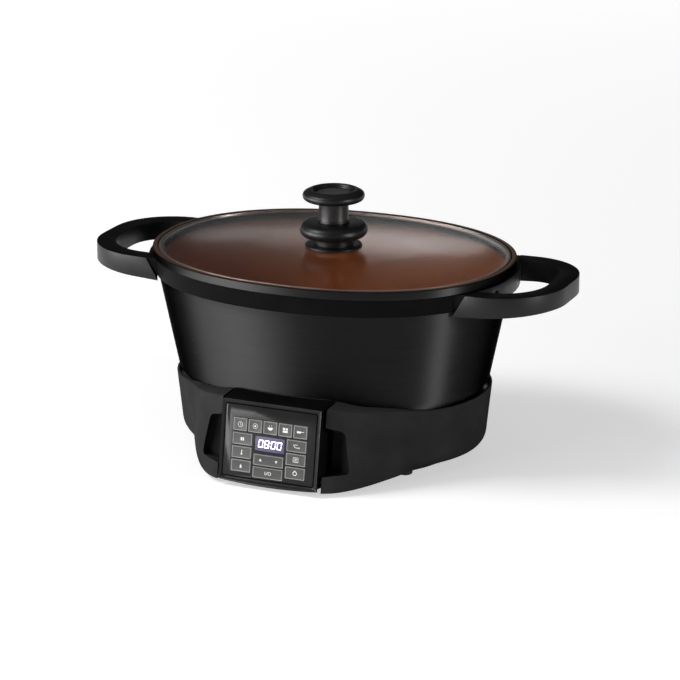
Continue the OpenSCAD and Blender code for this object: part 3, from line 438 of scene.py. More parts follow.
def apply_modifier(piece, kind, **settings):
    take(piece)
    modifier = piece.modifiers.new(kind.lower(), kind)
    for key, value in settings.items():
        setattr(modifier, key, value)
    bpy.ops.object.modifier_apply(modifier=modifier.name)


def eased(section, radius, steps=4):
    """Section, as (size, height) pairs, with its corners rounded."""
    points = [Vector(p) for p in section]
    out = [points[0]]
    for before, corner, after in zip(points, points[1:], points[2:]):
        back, on = before - corner, after - corner
        reach = min(radius, 0.45 * back.length, 0.45 * on.length)
        start = corner + back.normalized() * reach
        end = corner + on.normalized() * reach
        for k in range(steps + 1):
            t = k / steps
            out.append(start * (1 - t) ** 2 + corner * 2 * t * (1 - t) + end * t ** 2)
    return out + [points[-1]]


def arc(centre, radius, start, end, steps):
    """Points of a circle between two angles."""
    turns = [radians(start + (end - start) * k / steps) for k in range(steps + 1)]
    return [(centre[0] + radius * cos(a), centre[1] + radius * sin(a)) for a in turns]


def oval_size(offset):
    return (rim_a + offset) * MM, (rim_b + offset) * MM


def round_size(radius):
    return radius * MM, radius * MM


def carried_round(name, section, size, sides=144, closed=False):
    """Piece whose section is carried round the pot's axis, ring by ring."""
    put_down()
    bpy.ops.mesh.primitive_circle_add(vertices=sides, radius=1, location=(0, pot_y, 0))
    piece = bpy.context.object
    piece.name = piece.data.name = name
    settle()
    if size is oval_size:
        for point in piece.data.vertices:
            turn = atan2(point.co.y - pot_y, point.co.x)
            for axis, way, zero in ((0, cos(turn), 0), (1, sin(turn), pot_y)):
                reach = abs(way) ** (2 / oval_power)
                point.co[axis] = zero + (reach if way > 0 else -reach)
    open_all(piece)
    wide, deep, high = 1, 1, 0
    for k, (step, height) in enumerate(section):
        new_wide, new_deep = size(step)
        rise = height * MM - high
        if k:
            bpy.ops.mesh.extrude_region_move(TRANSFORM_OT_translate={"value": (0, 0, rise)})
        else:
            bpy.ops.transform.translate(value=(0, 0, rise))
        bpy.ops.transform.resize(
            value=(new_wide / wide, new_deep / deep, 1), center_override=(0, pot_y, 0))
        wide, deep, high = new_wide, new_deep, height * MM
    if closed:
        bpy.ops.mesh.select_all(action="SELECT")
        bpy.ops.mesh.remove_doubles(threshold=1e-6)
    else:
        bpy.ops.mesh.select_all(action="DESELECT")
        bpy.ops.mesh.select_non_manifold()
        bpy.ops.mesh.fill_holes(sides=0)
        bpy.ops.mesh.select_all(action="SELECT")
    bpy.ops.mesh.normals_make_consistent(inside=False)
    close_piece()
    smooth(piece)
    return piece


# Pot

def wall_in(z):
    return -belt_depth - belt_step - pot_draft * (belt_bottom - z)


def make_pot():
    """Cast pot with a rim band, a recessed belt and a ledge for the lid."""
    corner, steps, wall_z = 1.5, 14, 150
    lean = atan(pot_draft)
    thick = pot_wall / cos(lean)
    turn = 90 - degrees(lean)
    round_z = pot_z + pot_round
    bend_in = wall_in(round_z - pot_round * sin(lean)) - pot_round * cos(lean)
    ledge_end_z = belt_bottom - (-ledge_in - belt_depth - belt_step - thick) / pot_draft
    outside = arc((bend_in, round_z), pot_round, -90, turn - 90, steps)
    lip = eased([
        outside[-1], (wall_in(belt_bottom), belt_bottom), (-belt_depth, belt_bottom),
        (-belt_depth, belt_top), (0, belt_top), (0, rim_z), (-rim_w, rim_z), (-rim_w, ledge_z),
        (ledge_in, ledge_z), (ledge_in, ledge_z - coat_gap), (ledge_in, ledge_end_z),
        (wall_in(wall_z) - thick, wall_z)], corner)
    inside = arc((bend_in, round_z), pot_round - pot_wall, turn - 90, -90, steps)
    pot = carried_round("pot_shell", outside[:-1] + lip + inside, oval_size)
    # The recessed belt and the rim's inner face take the second, near-black matte coat, which is
    # painted shade
    coat(pot, "pot_black", "belt_black", "rim_grey", "copper_coat", "rim_bronze")
    wall, belt, rim, copper, rim_top = range(5)
    rim_from, ledge_to = 1 - (rim_w + 1) / rim_b, 1 + (ledge_in + 3) / rim_b
    edge, top_edge = 0.2, 1.7
    for face in pot.data.polygons:
        x, y, z = face.center.x / MM, (face.center.y - pot_y) / MM, face.center.z / MM
        size = ((abs(x) / rim_a) ** oval_power + (abs(y) / rim_b) ** oval_power) ** (1 / oval_power)
        inner = face.normal.x * x + face.normal.y * y < 0 or face.normal.z > 0.5
        if z > rim_z - top_edge and size > rim_from:
            face.material_index = rim_top if face.normal.z > 0.97 else belt if inner else rim
        elif z > belt_top - edge:
            face.material_index = wall if size < ledge_to else rim
        elif z > belt_bottom + edge and not inner:
            face.material_index = belt
        elif inner and z < ledge_z - coat_gap and size < ledge_to:
            face.material_index = copper
    fit(pot, "pot", "pot_black", "pot_shell")


def make_handle(side):
    """Loop handle whose bars grow deeper towards the pot, with shallow slanted roots."""
    handle = copy_of("handle_" + side, "handle_" + side + "_eased")
    outer = max(abs(point.co.y - pot_y) for point in handle.data.vertices) / MM
    belt_a, belt_b, near = rim_a - belt_depth, rim_b - belt_depth, 0.1
    for point in handle.data.vertices:
        x, y = abs(point.co.x) / MM, (point.co.y - pot_y) / MM
        way = 1 if point.co.x > 0 else -1
        if x < root_end and abs(abs(y) - (outer - root_cut)) < near:
            lie = (x / belt_a) ** oval_power + (abs(y) / belt_b) ** oval_power
            y = (outer - root_step) * (1 if y > 0 else -1)
            if abs(lie - 1) > 0.02:
                x -= root_shift
            else:
                x = belt_a * (1 - (abs(y) / belt_b) ** oval_power) ** (1 / oval_power)
            point.co.x = way * x * MM
            point.co.y = pot_y + y * MM
        elif x < root_end and abs(abs(y) - outer) < near:
            x -= root_shift
            point.co.x = way * x * MM
        if x > bar_out or abs(y) > bar_inside:
            far = min(max((x - bar_start) / bar_len, 0), 1)
            low = point.co.z / MM < (belt_top + belt_bottom) / 2
            point.co.z += MM * (bar_lift * far - (bar_drop * (1 - far) if low else 0))
    ease_edges(handle, handle_edge)
    smooth(handle)
    # The handle's upward faces and its slanted root faces take the second, near-black coat, which
    # is painted shade
    coat(handle, "handle_black", "belt_black")
    for face in handle.data.polygons:
        x, y = abs(face.center.x) / MM, abs(face.center.y - pot_y) / MM
        at_root = x < root_end - 2 and outer - root_face < y < outer - 0.7 * root_step
        rooted = at_root and abs(face.normal.y) > 0.9
        face.material_index = int(rooted or face.normal.z > 0.8)
    fit(handle, "pot", "handle_black", "handle_" + side)


make_pot()
make_handle("left")
make_handle("right")


# Lid and knob

def dome(offset):
    return glass_rise * (1 - ((rim_b + offset) / (rim_b + dome_in)) ** 2)


def make_lid():
    """Glass dome in a rolled band with a bead round its edge."""
    rings, edge, fold = 12, glass_in - 0.1, 0.5
    low, high, bead_z = ledge_z + band_t, rim_z - band_t, rim_z - bead_drop
    steps = [flat_in + (dome_in - flat_in) * k / rings for k in range(rings + 1)]
    under = [(s, low + dome(s)) for s in steps]
    over = [(s, high + dome(s)) for s in reversed(steps)]
    glass = carried_round("lid_glass_dome", under + [(edge, low), (edge, high)] + over, oval_size)
    coat(glass, "lid_glass")
    fit(glass, "lid", "lid_glass", "lid_glass")
    band = carried_round("lid_band_rolled", eased([
        (glass_in, low), (band_in, low), (band_in, ledge_z), (lid_in, ledge_z), (lid_in, bead_z),
        (lid_in - bead_w, bead_z), (lid_in - bead_w, high), (glass_in, high), (glass_in, low)],
        fold), oval_size, closed=True)
    coat(band, "lid_steel")
    fit(band, "lid", "lid_steel", "lid_band")


def make_knob():
    """Stacked knob: flange, collar, stem and a cap with a smooth dish."""
    bore, sides, steps = 4, 72, 16
    flange_r, flange_top_r, neck_r, disc_r, disc_round, disc_top_r = 28.5, 26.8, 19.5, 27, 7, 16.5
    stem_r, waist_r, stem_lip, stem_ease = 15.5, 14.9, 2.2, 2.6
    cap_r, cap_round, cap_top_r, cap_low_r = 26.4, 4.6, 24, 16.5
    dish_r, dish_floor_r, dish_depth, dish_edge = 20.5, 18.5, 4.2, 3
    glass_top = rim_z - band_t + dome(flat_in)
    flange_top, neck_top, disc_top = glass_top + 2.4, glass_top + 9.9, glass_top + 24.4
    stem_top, cap_top = disc_top + 22.5, disc_top + 33.5
    dish_z = cap_top - dish_depth

    def turned(name, section, finish, node):
        piece = carried_round(name, section, round_size, sides)
        coat(piece, finish)
        return fit(piece, "lid", finish, node)

    turned("knob_flange_turned", eased([
        (bore, glass_top), (flange_r, glass_top), (flange_r, glass_top + 1.3),
        (flange_top_r, flange_top), (bore, flange_top)], 1.0), "knob_black", "knob_flange")
    neck = eased([(neck_r, flange_top), (neck_r, neck_top), (disc_r, neck_top)], 2.5)
    bulge = arc((disc_r, neck_top + disc_round), disc_round, -90, 75, steps)
    crown = eased([(28.8, neck_top + 13.8), (disc_top_r, disc_top), (bore, disc_top)], 1.5)
    turned("knob_collar_turned", [
        (bore, flange_top), (neck_r, flange_top), *neck[1:], *bulge, *crown[1:]],
        "knob_black", "knob_collar")
    turned("knob_stem_turned", eased([
        (bore, disc_top), (stem_r, disc_top), (stem_r, disc_top + stem_lip),
        (waist_r, disc_top + stem_ease), (waist_r, stem_top - stem_ease),
        (stem_r, stem_top - stem_lip), (stem_r, stem_top), (bore, stem_top)], 0.5),
        "knob_stem_dark", "knob_stem")
    brim = arc((cap_r, stem_top + cap_round), cap_round, -90, 60, steps)
    dish = eased([
        (28.7, stem_top + 8.58), (cap_top_r, cap_top), (dish_r, cap_top), (dish_floor_r, dish_z),
        (bore, dish_z)], 1.8)
    cap = turned("knob_cap_turned", [
        (bore, stem_top), (cap_low_r, stem_top), *brim, *dish[1:]], "knob_black", "knob_cap")
    # The dish's flat, upward floor takes the lighter knob_dish grey: partly a lighter insert,
    # partly painted light from above
    coat(cap, "knob_black", "knob_dish")
    for face in cap.data.polygons:
        dished = face.normal.z > 0.95 and face.center.z < (cap_top - dish_edge) * MM
        face.material_index = int(dished)


make_lid()
make_knob()


# Base and console

base_inset, base_lean, base_round, base_wall, base_rim_w = 22, 5, 9, 2.8, 3.5
side_skirt_z, bottom_top, shelf_z, shelf_w, foot_high = 11, 15.5, 64, 7.5, 13
well_in = -base_inset - base_rim_w
console_y = -rim_b - console_out
deck_front_y = console_y + (deck_z - console_skirt_z) * tan(radians(panel_tilt))
bay_half = panel_w / 2 + 3
columns, nudge = 180, 0.05
heights = [0, 0.04, 0.08, 0.13, 0.2, 0.3, 0.42, 0.55, 0.68, 0.8, 0.9, 1]

# Runs over the turn from the panel's side, in degrees: the housing's lower and upper edge
foot_run = [(22, console_skirt_z), (46, 7), (60, 8.5), (71, side_skirt_z)]
top_run = [(19, deck_z), (39, base_h + 5.5), (66, base_h)]

# Fuller front corners and a waist behind them: turn, swell, spread and the heights it fades over
corner_turn, waist_turn, corner_swell, waist_swell, swell_spread = 35, 57, 3.4, 5, 7
swell_run = [(30, 1), (60, 0)]

# Grip pockets, on the panel's axes
pocket_low, pocket_high, pocket_far, pocket_floor, pocket_out = 14.2, 63.5, 80, -27, 24
pocket_narrow, pocket_slant, pocket_round = 4.5, 7.5, 4.5


def oval_reach(offset, turn):
    """Distance of the oval from the pot's axis, for a turn from the panel's side."""
    across, along = abs(sin(turn)) / (rim_a + offset), abs(cos(turn)) / (rim_b + offset)
    return (across ** oval_power + along ** oval_power) ** (-1 / oval_power)


def tub_reach(turn, z):
    """Distance of the tub's wall, with its round foot."""
    foot = -base_inset - base_lean
    if z < side_skirt_z + foot_high:
        fall = 1 - (z - side_skirt_z) / foot_high
        return oval_reach(foot - base_round * (1 - (1 - fall ** 2) ** 0.5), turn)
    rise = (z - side_skirt_z - foot_high) / (base_h - side_skirt_z - foot_high)
    return oval_reach(foot + base_lean * rise, turn)


def make_block():
    """Helper: hull of the discs, as (x, y, z, radius), that the console's block is drawn over."""
    edge = panel_w / 2
    discs = [
        (edge - 8, console_y + 34, console_skirt_z, 34),
        (edge + 30, console_y + 83.5, console_skirt_z, 30),
        (edge - 10, deck_front_y + 22, deck_z, 22),
        (edge + 25, deck_front_y + 48.5, base_h + 6, 24),
        (edge + 66, console_y + 109.5, base_h, 25),
        (edge + 62.2, console_y + 112.8, 20, 25),
        (edge + 62.2, console_y + 112.8, side_skirt_z, 16),
        (edge + 18, deck_front_y + 45, deck_z + 2.6, 3)]
    put_down()
    rims = []
    for x, y, z, r in discs:
        for side in (-1, 1):
            bpy.ops.mesh.primitive_circle_add(
                vertices=48, radius=r * MM, location=(side * x * MM, pot_y + y * MM, z * MM))
            rims.append(bpy.context.object)
    take(*rims)
    settle()
    bpy.ops.object.join()
    block = bpy.context.object
    open_all(block)
    bpy.ops.mesh.convex_hull()
    close_piece()
    bpy.context.view_layer.update()
    return block


def stepped(value, steps):
    """Smooth run through (value, result) pairs."""
    if value <= steps[0][0]:
        return steps[0][1]
    for (a, low), (b, high) in zip(steps, steps[1:]):
        if value <= b:
            t = (value - a) / (b - a)
            return low + (high - low) * t * t * (3 - 2 * t)
    return steps[-1][1]


def bell(value):
    return exp(-0.5 * value ** 2)


def calm(ring, width):
    """Evens out a closed run of values over a number of columns."""
    reach = range(-3 * width, 3 * width + 1)
    weights = [bell(k / width) for k in reach]
    total, count = sum(weights), len(ring)
    return [sum(w * ring[(i + k) % count] for k, w in zip(reach, weights)) / total
            for i in range(count)]


def swell(turn, z):
    """Fuller front corners and a waist behind them, low on the block."""
    angle = abs(degrees(turn))
    corner, waist = (bell((angle - at) / swell_spread) for at in (corner_turn, waist_turn))
    return stepped(z, swell_run) * (corner_swell * corner - waist_swell * waist)


def housing_sections():
    """Section of the base's moulding in each column, as (distance, height) loops."""
    block = make_block()
    turns = [2 * pi * k / columns - pi for k in range(columns)]
    far, above = 0.5, 0.2

    # Both feel for the block from outside, over those lengths in metres
    def block_reach(turn, z):
        way = Vector((sin(turn), -cos(turn), 0))
        axis = Vector((0, pot_y, z * MM))
        hit, place, *_ = block.ray_cast(axis + way * far, -way, distance=far)
        return (place - axis).dot(way) / MM if hit else 0

    def block_top(turn, reach):
        start = Vector((sin(turn) * reach * MM, pot_y - cos(turn) * reach * MM, above))
        hit, place, *_ = block.ray_cast(start, Vector((0, 0, -1)), distance=above)
        return place.z / MM if hit else 0

    foot = [stepped(abs(degrees(t)), foot_run) for t in turns]
    top = calm([stepped(abs(degrees(t)), top_run) for t in turns], 1)
    wall = []
    for u in heights:
        row = []
        for t, low, high in zip(turns, foot, top):
            z = max(min(low + (high - low) * u, high - nudge), low + nudge)
            tub = tub_reach(t, min(max(z, side_skirt_z), base_h))
            row.append(max(tub, block_reach(t, z) + swell(t, z)))
        wall.append(calm(row, 2))
    lip = calm([max(base_h, block_top(t, oval_reach(well_in + 2, t))) for t in turns], 1)
    bpy.data.objects.remove(block)
    under = bottom_top + 0.1
    sections = []
    for k, t in enumerate(turns):
        edge = min(lip[k], top[k] + 2)
        flare, well = oval_reach(well_in + 0.25 * (edge - base_h), t), oval_reach(well_in, t)
        shelf = oval_reach(well_in - shelf_w, t)
        side = [(row[k], foot[k] + (top[k] - foot[k]) * u) for row, u in zip(wall, heights)]
        crest = eased([side[-2], side[-1], (flare, edge), (well, base_h - 3)], 1.4, 3)
        back = side[0][0] - base_wall
        sections.append(side[:-2] + [tuple(p) for p in crest] + [
            (well, shelf_z), (shelf, shelf_z), (shelf, under), (back, under), (back, foot[k])])
    return sections


def wrapped(name, sections):
    """Closed skin over the loops of all columns, drawn up from a circle ring by ring."""
    count, rise = len(sections[0]), 0.1
    put_down()
    bpy.ops.mesh.primitive_circle_add(vertices=len(sections), radius=1)
    piece = bpy.context.object
    piece.name = piece.data.name = name
    open_all(piece)
    for _ in range(count):
        bpy.ops.mesh.extrude_region_move(TRANSFORM_OT_translate={"value": (0, 0, rise)})
    close_piece()
    for point in piece.data.vertices:
        turn = atan2(point.co.x, -point.co.y)
        column = round((turn + pi) / (2 * pi) * len(sections)) % len(sections)
        reach, height = sections[column][round(point.co.z / rise) % count]
        turn = 2 * pi * column / len(sections) - pi
        point.co = (sin(turn) * reach * MM, pot_y - cos(turn) * reach * MM, height * MM)
    open_all(piece)
    bpy.ops.mesh.remove_doubles(threshold=1e-6)
    bpy.ops.mesh.normals_make_consistent(inside=False)
    close_piece()
    return piece


def cut(piece, cutter):
    """Takes a cutter's form out of a piece."""
    apply_modifier(piece, "BOOLEAN", object=cutter, operation="DIFFERENCE", solver="EXACT")
    bpy.data.objects.remove(cutter)


def cube(place, size):
    """Block at a place in metres, of a size in millimetres, with both in its mesh."""
    put_down()
    bpy.ops.mesh.primitive_cube_add(size=MM, location=place)
    block = bpy.context.object
    block.scale = size
    settle()
    return block


def bay_cutter():
    """Room for the console between the cheeks, in front of the well's collar."""
    front, back, middle_z, high = console_y - 20, -60, 50, 110
    room = cube((0, pot_y + (front + back) / 2 * MM, middle_z * MM),
                (2 * bay_half, back - front, high))
    collar_in = well_in + base_wall
    cut(room, carried_round("collar", [
        (collar_in, -20), (collar_in, base_h), (well_in + 9, 120)], oval_size))
    return room


def pocket_cutter(side):
    """Grip pocket beside the panel: a scoop that is deepest next to the console."""
    near = bay_half - 2.5
    section = [(near, pocket_out), (near, pocket_floor), (62, pocket_floor),
               (pocket_far - 1.5, pocket_floor + 2), (pocket_far, pocket_out)]
    put_down()
    bpy.ops.mesh.primitive_circle_add(vertices=len(section), radius=1, fill_type="NGON")
    pocket = bpy.context.object
    for point, (x, z) in zip(pocket.data.vertices, section):
        point.co = (x * MM, pocket_low * MM, z * MM)
    open_all(pocket)
    bpy.ops.mesh.extrude_region_move(
        TRANSFORM_OT_translate={"value": (0, (pocket_high - pocket_low) * MM, 0)})
    bpy.ops.mesh.select_all(action="SELECT")
    bpy.ops.mesh.normals_make_consistent(inside=False)
    bpy.ops.mesh.select_all(action="DESELECT")
    close_piece()
    for point in pocket.data.vertices:
        away = (point.co.x / MM - near) / (pocket_far - near)
        top = point.co.y > (pocket_low + pocket_high) / 2 * MM
        point.co.x -= pocket_slant * away * MM if top else 0
        point.co.y += (-pocket_narrow if top else pocket_narrow) * away * MM
    pick_edges(pocket, lambda a, b: max(a.x, b.x) > near + 0.1 and min(a.z, b.z) < 0, 15)
    bpy.ops.mesh.bevel(offset=pocket_round * MM, segments=5)
    close_piece()
    if side < 0:
        pocket.data.transform(Matrix.Scale(-1, 4, Vector((1, 0, 0))))
        open_all(pocket)
        bpy.ops.mesh.flip_normals()
        close_piece()
    pocket.data.transform(on_panel)
    return pocket


def ease_mouths(housing):
    """Rounds the edges of the pockets and of the cheeks along the console."""
    to_panel = on_panel.inverted()
    mouth_far, mouth_floor, mouth_low, mouth_high = 86, -26, 3, panel_len - 2

    def at_mouth(*ends):
        local = (to_panel @ (e * MM) / MM for e in ends)
        return all(bay_half - 0.5 < abs(e.x) < mouth_far and mouth_floor < e.z < 1
                   and mouth_low < e.y < mouth_high for e in local)

    pick_edges(housing, at_mouth, 40)
    bpy.ops.mesh.bevel(offset=1.2 * MM, segments=2, clamp_overlap=True)
    close_piece()


def make_housing():
    """Base moulded in one: the console's cheeks flow into the oval tub."""
    housing = wrapped("base_housing_moulded", housing_sections())
    cut(housing, bay_cutter())
    for side in (-1, 1):
        cut(housing, pocket_cutter(side))
    ease_mouths(housing)
    smooth(housing, 32)
    coat(housing, "housing_black")
    fit(housing, "base", "housing_black", "base_housing")


make_housing()

film_x, film_low, film_high, film_round = panel_w / 2 - 4.2, 4.8, panel_len - 4.5, 1.8
film_under, film_top, film_play = -0.9, 0.35, 0.7
groove_w, groove_floor, groove_top, groove_round = 0.9, -0.8, 1.2, 2.6


def rounded_slab(half, low, high, bottom, top, corner):
    """Flat slab on the panel with rounded corners."""
    slab = cube((0, (low + high) / 2 * MM, (bottom + top) / 2 * MM),
                (2 * half, high - low, top - bottom))
    pick_edges(slab, lambda a, b: abs(a.z - b.z) > 0.1, 60)
    bpy.ops.mesh.bevel(offset=corner * MM, segments=5)
    close_piece()
    return slab


def make_console():
    """Panel and deck in one, with a groove round the field of keys."""
    console = ease_edges(copy_of("control_console", "control_console_eased", False), 0.5, 25)
    groove = rounded_slab(film_x + groove_w, film_low - groove_w, film_high + groove_w,
                          groove_floor, groove_top, groove_round)
    cut(groove, rounded_slab(film_x, film_low, film_high, -2, 2, film_round))
    groove.data.transform(on_panel)
    cut(console, groove)
    smooth(console)
    coat(console, "console_black", "panel_film")
    to_panel = on_panel.inverted()
    for face in console.data.polygons:
        in_front = abs((to_panel @ face.center).z) < 0.3 * MM
        face.material_index = int(in_front and face.normal.dot(panel_out) > 0.8)
    fit(console, "base", "console_black", "control_console")


make_console()


# Signs and digits, drawn flat on the panel and given a little thickness

def flat_round(x, y, r, sides, **options):
    bpy.ops.mesh.primitive_circle_add(
        vertices=sides, radius=r * MM, location=(x * MM, y * MM, 0), **options)
    return bpy.context.object


def dot(x, y, r):
    return flat_round(x, y, r, 24, fill_type="NGON")


def wedge(x, y, r, down=False):
    return flat_round(x, y, r, 3, fill_type="NGON", rotation=(0, 0, pi if down else 0))


def bowl(x, y, r):
    """Half disc, open side up."""
    half = dot(x, y, r)
    open_all(half)
    bpy.ops.mesh.bisect(plane_co=(x * MM, y * MM, 0), plane_no=(0, 1, 0), clear_outer=True)
    close_piece()
    return half


def hoop(x, y, r, line=0.35):
    circle = flat_round(x, y, r, 24)
    open_all(circle)
    bpy.ops.mesh.extrude_region_move(TRANSFORM_OT_translate={"value": (0, 0, 0)})
    inner = 1 - line / r
    bpy.ops.transform.resize(value=(inner, inner, 1), center_override=(x * MM, y * MM, 0))
    close_piece()
    return circle


def bar(x0, y0, x1, y1, line=0.4):
    along = Vector((x1 - x0, y1 - y0))
    bpy.ops.mesh.primitive_plane_add(
        size=MM, location=((x0 + x1) / 2 * MM, (y0 + y1) / 2 * MM, 0),
        rotation=(0, 0, atan2(along.y, along.x)))
    stroke = bpy.context.object
    stroke.scale = (along.length, line, 1)
    return stroke


def draw(name, centre, strokes, height, thick, slant=0.0):
    """Joins flat strokes round a centre to one raised sign on the panel."""
    parts = []
    for shape, *values in strokes:
        put_down()
        ends = 4 if shape is bar else 2
        moved = [value + centre[k % 2] for k, value in enumerate(values[:ends])]
        parts.append(shape(*moved, *values[ends:]))
    take(*parts)
    settle()
    if len(parts) > 1:
        bpy.ops.object.join()
    sign = bpy.context.object
    sign.name = sign.data.name = name
    for point in sign.data.vertices:
        point.co.x += slant * (point.co.y - centre[1] * MM)
    pick_faces(sign, lambda face: face.normal.z < 0)
    bpy.ops.mesh.flip_normals()
    close_piece()
    apply_modifier(sign, "SOLIDIFY", thickness=thick * MM, offset=1.0)
    sign.data.transform(on_panel @ Matrix.Translation((0, 0, height * MM)))
    return sign


top_x = [(k - 2) * (top_key_w + key_gap) for k in range(5)]
rows = [side_y + k * side_pitch for k in (2, 1, 0)]
key_places = {"key_start": (0, start_y), "rocker_key": (0, rocker_y)}
for k, x in enumerate(top_x, 1):
    key_places[f"key_top_{k}"] = (x, top_y)
for k, y in enumerate(rows, 1):
    key_places[f"key_left_{k}"] = (-side_x, y)
    key_places[f"key_right_{k}"] = (side_x, y)

# Strokes of each sign round its key's middle: a shape, its place or its two ends, and its size
signs = {
    "key_top_1": [(hoop, 0, 0, 2.6), (bar, 0, 0, 0, 1.7), (bar, 0, 0, 1.2, -0.7)],
    "key_top_2": [(hoop, 0, 0, 2.6), (dot, 0, 0, 1.0)],
    "key_top_3": [(bowl, 0, 0.6, 2.8), (bar, -1.2, 1.4, -1.2, 2.9), (bar, 1.2, 1.4, 1.2, 2.9)],
    "key_top_4": [(bar, -2.6, 1.2, -0.4, 1.2, 2.0), (bar, 0.4, 1.2, 2.6, 1.2, 2.0),
                  (bar, -2.6, -1.3, 2.6, -1.3, 2.0)],
    "key_top_5": [(bar, -3.6, 0, 0.4, 0, 1.9), (bar, 0.4, 0.5, 3.8, 0.5, 0.6)],
    "key_left_1": [(bar, -1.0, -1.6, -1.0, 1.6, 1.3), (bar, 1.0, -1.6, 1.0, 1.6, 1.3)],
    "key_left_2": [(dot, 0, -1.5, 0.8), (bar, 0, -1.5, 0, 2.4, 0.7), (bar, 0, 1.6, 1.2, 1.6, 0.4)],
    "key_left_3": [(dot, 0, -1.1, 1.1), (wedge, 0, 0.4, 1.2)],
    "key_right_1": [(bar, -3.4, 1.6, -1.4, -1.4, 0.5), (bar, -1.4, -1.4, 1.8, -1.4, 0.5),
                    (bar, -2.2, 1.4, 1.2, 1.4, 0.5), (wedge, 2.7, -1.2, 1.1)],
    "key_right_2": [(bar, -2.6, 2.2, 2.6, 2.2), (bar, -2.6, -2.2, 2.6, -2.2),
                    (bar, -2.6, -2.4, -2.6, 2.4), (bar, 2.6, -2.4, 2.6, 2.4),
                    (bar, -1.5, 0.8, 1.5, 0.8, 0.6), (bar, -1.5, -0.8, 1.5, -0.8, 0.6)],
    "key_right_3": [(hoop, 0, 0, 2.2, 0.6), (bar, 0, 1.4, 0, 2.9, 0.6)],
    "key_start": [(bar, -2.6, -1.6, -2.6, 1.6, 0.6), (bar, -1.5, -1.8, 0.3, 1.8, 0.5),
                  (hoop, 2.2, 0, 1.7, 0.5)],
    "rocker_key": [(wedge, -8.4, -0.3, 1.7), (wedge, 8.4, 0.3, 1.7, True)],
}


def make_key(node, strokes):
    """Key with a raised border, a sunk face and its sign."""
    edge_w, border_w, slope_w, border_h, sink = 0.25, 0.45, 0.15, 0.12, 0.15
    sign_low, sign_t = key_proud + border_h - sink - 0.01, 0.07
    looks = ("key_border", "key_grey", "sign_white")
    key = copy_of(node, node + "_cap")
    coat(key, *looks)
    top = max(point.co.dot(panel_out) for point in key.data.vertices) - 1e-5
    pick_faces(key, lambda face: (
        face.normal.dot(panel_out) > 0.99 and face.center.dot(panel_out) > top))
    bpy.ops.mesh.inset(thickness=edge_w * MM, depth=border_h * MM)
    bpy.ops.mesh.inset(thickness=border_w * MM, depth=0)
    bpy.ops.mesh.inset(thickness=slope_w * MM, depth=-sink * MM)
    key.active_material_index = looks.index("key_grey")
    bpy.ops.object.material_slot_assign()
    close_piece()
    smooth(key, 30)
    even_normals(key)
    sign = draw(node + "_sign", key_places[node], strokes, sign_low, sign_t)
    coat(sign, *looks)
    for face in sign.data.polygons:
        face.material_index = looks.index("sign_white")
    take(key, sign)
    bpy.ops.object.join()
    fit(key, "rocker" if node == "rocker_key" else node, "key_grey", node)


for node, strokes in signs.items():
    make_key(node, strokes)


def make_film():
    """Thin film on the panel, cut out round the keys and the window."""
    film = rounded_slab(film_x, film_low, film_high, film_under, film_top, film_round)
    film.name = film.data.name = "panel_film"
    openings = [(0, start_y, mid_key_w, mid_key_h), (0, rocker_y, mid_key_w, mid_key_h),
                (0, window_y, mid_key_w, window_h)]
    openings += [(x, top_y, top_key_w, top_key_h) for x in top_x]
    openings += [(s * side_x, y, side_key_w, side_key_h) for s in (-1, 1) for y in rows]
    for x, y, w, h in openings:
        cut(film, cube((x * MM, y * MM, 0), (w + film_play, h + film_play, 4)))

    def at_rim(*ends):
        return all(e.z > 0.3 and (
            abs(e.x) > film_x - 2 or not film_low + 2 < e.y < film_high - 2) for e in ends)

    pick_edges(film, at_rim, 60)
    bpy.ops.mesh.bevel(offset=film_top * MM, segments=2)
    close_piece()
    film.data.transform(on_panel)
    smooth(film, 30)
    coat(film, "panel_film")
    fit(film, "base", "console_black")


make_film()
window = ease_edges(copy_of("display_window", "display_window_smoked"), 0.25, 30, 2)
smooth(window, 30)
even_normals(window)
coat(window, "window_smoked")
fit(window, "base", "window_smoked", "display_window")


def make_digits():
    """Clock digits in seven bars each, leaning a little."""
    lit = {"0": "abcdef", "8": "abcdefg"}
    half, tall, end, gap, line = 2.0, 3.4, 3.6, 0.4, 0.9
    colon_x, colon_y, colon_r = 0.45, 1.5, 0.55
    low, thick, slant = -0.11, 0.06, 0.12
    strokes = []
    for digit, x in zip("0800", (-9.3, -3.1, 4.0, 10.2)):
        left, right = x - half, x + half
        bars = {
            "a": (left, tall, right, tall), "g": (left, 0, right, 0),
            "d": (left, -tall, right, -tall),
            "f": (left, gap, left, end), "b": (right, gap, right, end),
            "e": (left, -end, left, -gap), "c": (right, -end, right, -gap)}
        strokes += [(bar, *bars[name], line) for name in lit[digit]]
    strokes += [(dot, colon_x, colon_y, colon_r), (dot, colon_x, -colon_y, colon_r)]
    digits = draw("display_digits", (0, window_y), strokes, low, thick, slant)
    coat(digits, "digit_white")
    fit(digits, "base", "display_dark")


make_digits()


# Solids that stay as they are get their finish by slot

for node, solid in nodes.items():
    slot = solid.material_slots[0].name.split(".")[0]
    coat(solid, "screw_dark" if node == "handle_screws" else slot)


# Floor and light

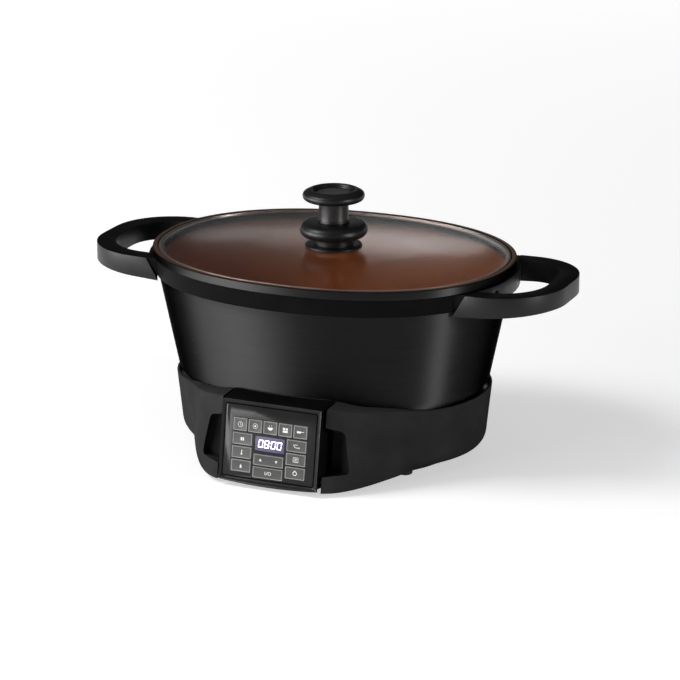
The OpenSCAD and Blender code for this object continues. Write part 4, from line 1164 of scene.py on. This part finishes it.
def lay_floor():
    """White floor with its own glow for the rays that show it, stronger far away."""
    near, far, near_glow, far_glow = 0.5, 4.0, 0.48, 1.0
    put_down()
    bpy.ops.mesh.primitive_plane_add(size=60, location=(0, 0, -0.0003))
    floor = bpy.context.object
    floor.name = "floor"
    finish, shader = bare_finish("floor_white", (0.68, 0.68, 0.68), 0.9, 0.0, 0.0)
    tree = finish.node_tree
    link = tree.links.new
    kinds = "LightPath TexCoord VectorMath Emission Emission MixShader AddShader".split()
    path, place, away, glow, none, choice, both = (
        tree.nodes.new("ShaderNode" + kind) for kind in kinds)
    away.operation = "LENGTH"
    link(place.outputs["Object"], away.inputs[0])
    level = ranged(tree, away.outputs["Value"], near, far, near_glow, far_glow)
    link(level, glow.inputs["Strength"])
    none.inputs["Strength"].default_value = 0.0
    seen = path.outputs["Is Camera Ray"]
    for ray in ("Is Glossy Ray", "Is Transmission Ray"):
        either = tree.nodes.new("ShaderNodeMath")
        either.operation = "MAXIMUM"
        link(seen, either.inputs[0])
        link(path.outputs[ray], either.inputs[1])
        seen = either.outputs["Value"]
    link(seen, choice.inputs["Fac"])
    link(none.outputs["Emission"], choice.inputs[1])
    link(glow.outputs["Emission"], choice.inputs[2])
    link(shader.outputs["BSDF"], both.inputs[0])
    link(choice.outputs["Shader"], both.inputs[1])
    link(both.outputs["Shader"], tree.nodes["Material Output"].inputs["Surface"])
    floor.data.materials.append(finish)


def set_world():
    """Dim room with a dark band at eye level and a lighter ceiling."""
    levels = ((0.0, 0.05), (0.34, 0.02), (0.55, 0.02), (0.75, 0.10), (1.0, 0.24))
    world = bpy.data.worlds.new("studio")
    bpy.context.scene.world = world
    world.use_nodes = True
    tree = world.node_tree
    sky = tree.nodes["Background"]
    place = tree.nodes.new("ShaderNodeTexCoord")
    parts = tree.nodes.new("ShaderNodeSeparateXYZ")
    tree.links.new(place.outputs["Generated"], parts.inputs["Vector"])
    grey = ramped(tree, parts.outputs["Z"], *((at, (level,) * 3) for at, level in levels))
    tree.links.new(grey, sky.inputs["Color"])
    sky.inputs["Strength"].default_value = 1.0


def hang_lamp(name, place, target, size, power, shape="RECTANGLE"):
    lamp = bpy.data.lights.new(name, "AREA")
    lamp.shape = shape
    lamp.size, lamp.size_y = size
    lamp.energy = power
    stand_at(lamp, place, target)


bpy.context.scene.view_settings.view_transform = "Standard"
lay_floor()
set_world()
hang_lamp("left_softbox", (-2.33, -1.98, 0.40), (0, 0, 0.1), (3.05, 0.76), 130)
hang_lamp("right_softbox", (2.93, -0.62, 0.7), (0, 0, 0.1), (0.6, 1.2), 50)
hang_lamp("top_softbox", (-1.7, -1.0, 2.2), (0, 0, 0.1), (1.0, 1.0), 54)
hang_lamp("back_card_left", (-1.38, 2.80, 0.96), (0, 0, 0.2), (0.46, 0.22), 0.15, "ELLIPSE")
hang_lamp("back_card_right", (-1.06, 2.94, 0.98), (0, 0, 0.2), (0.46, 0.28), 0.40, "ELLIPSE")
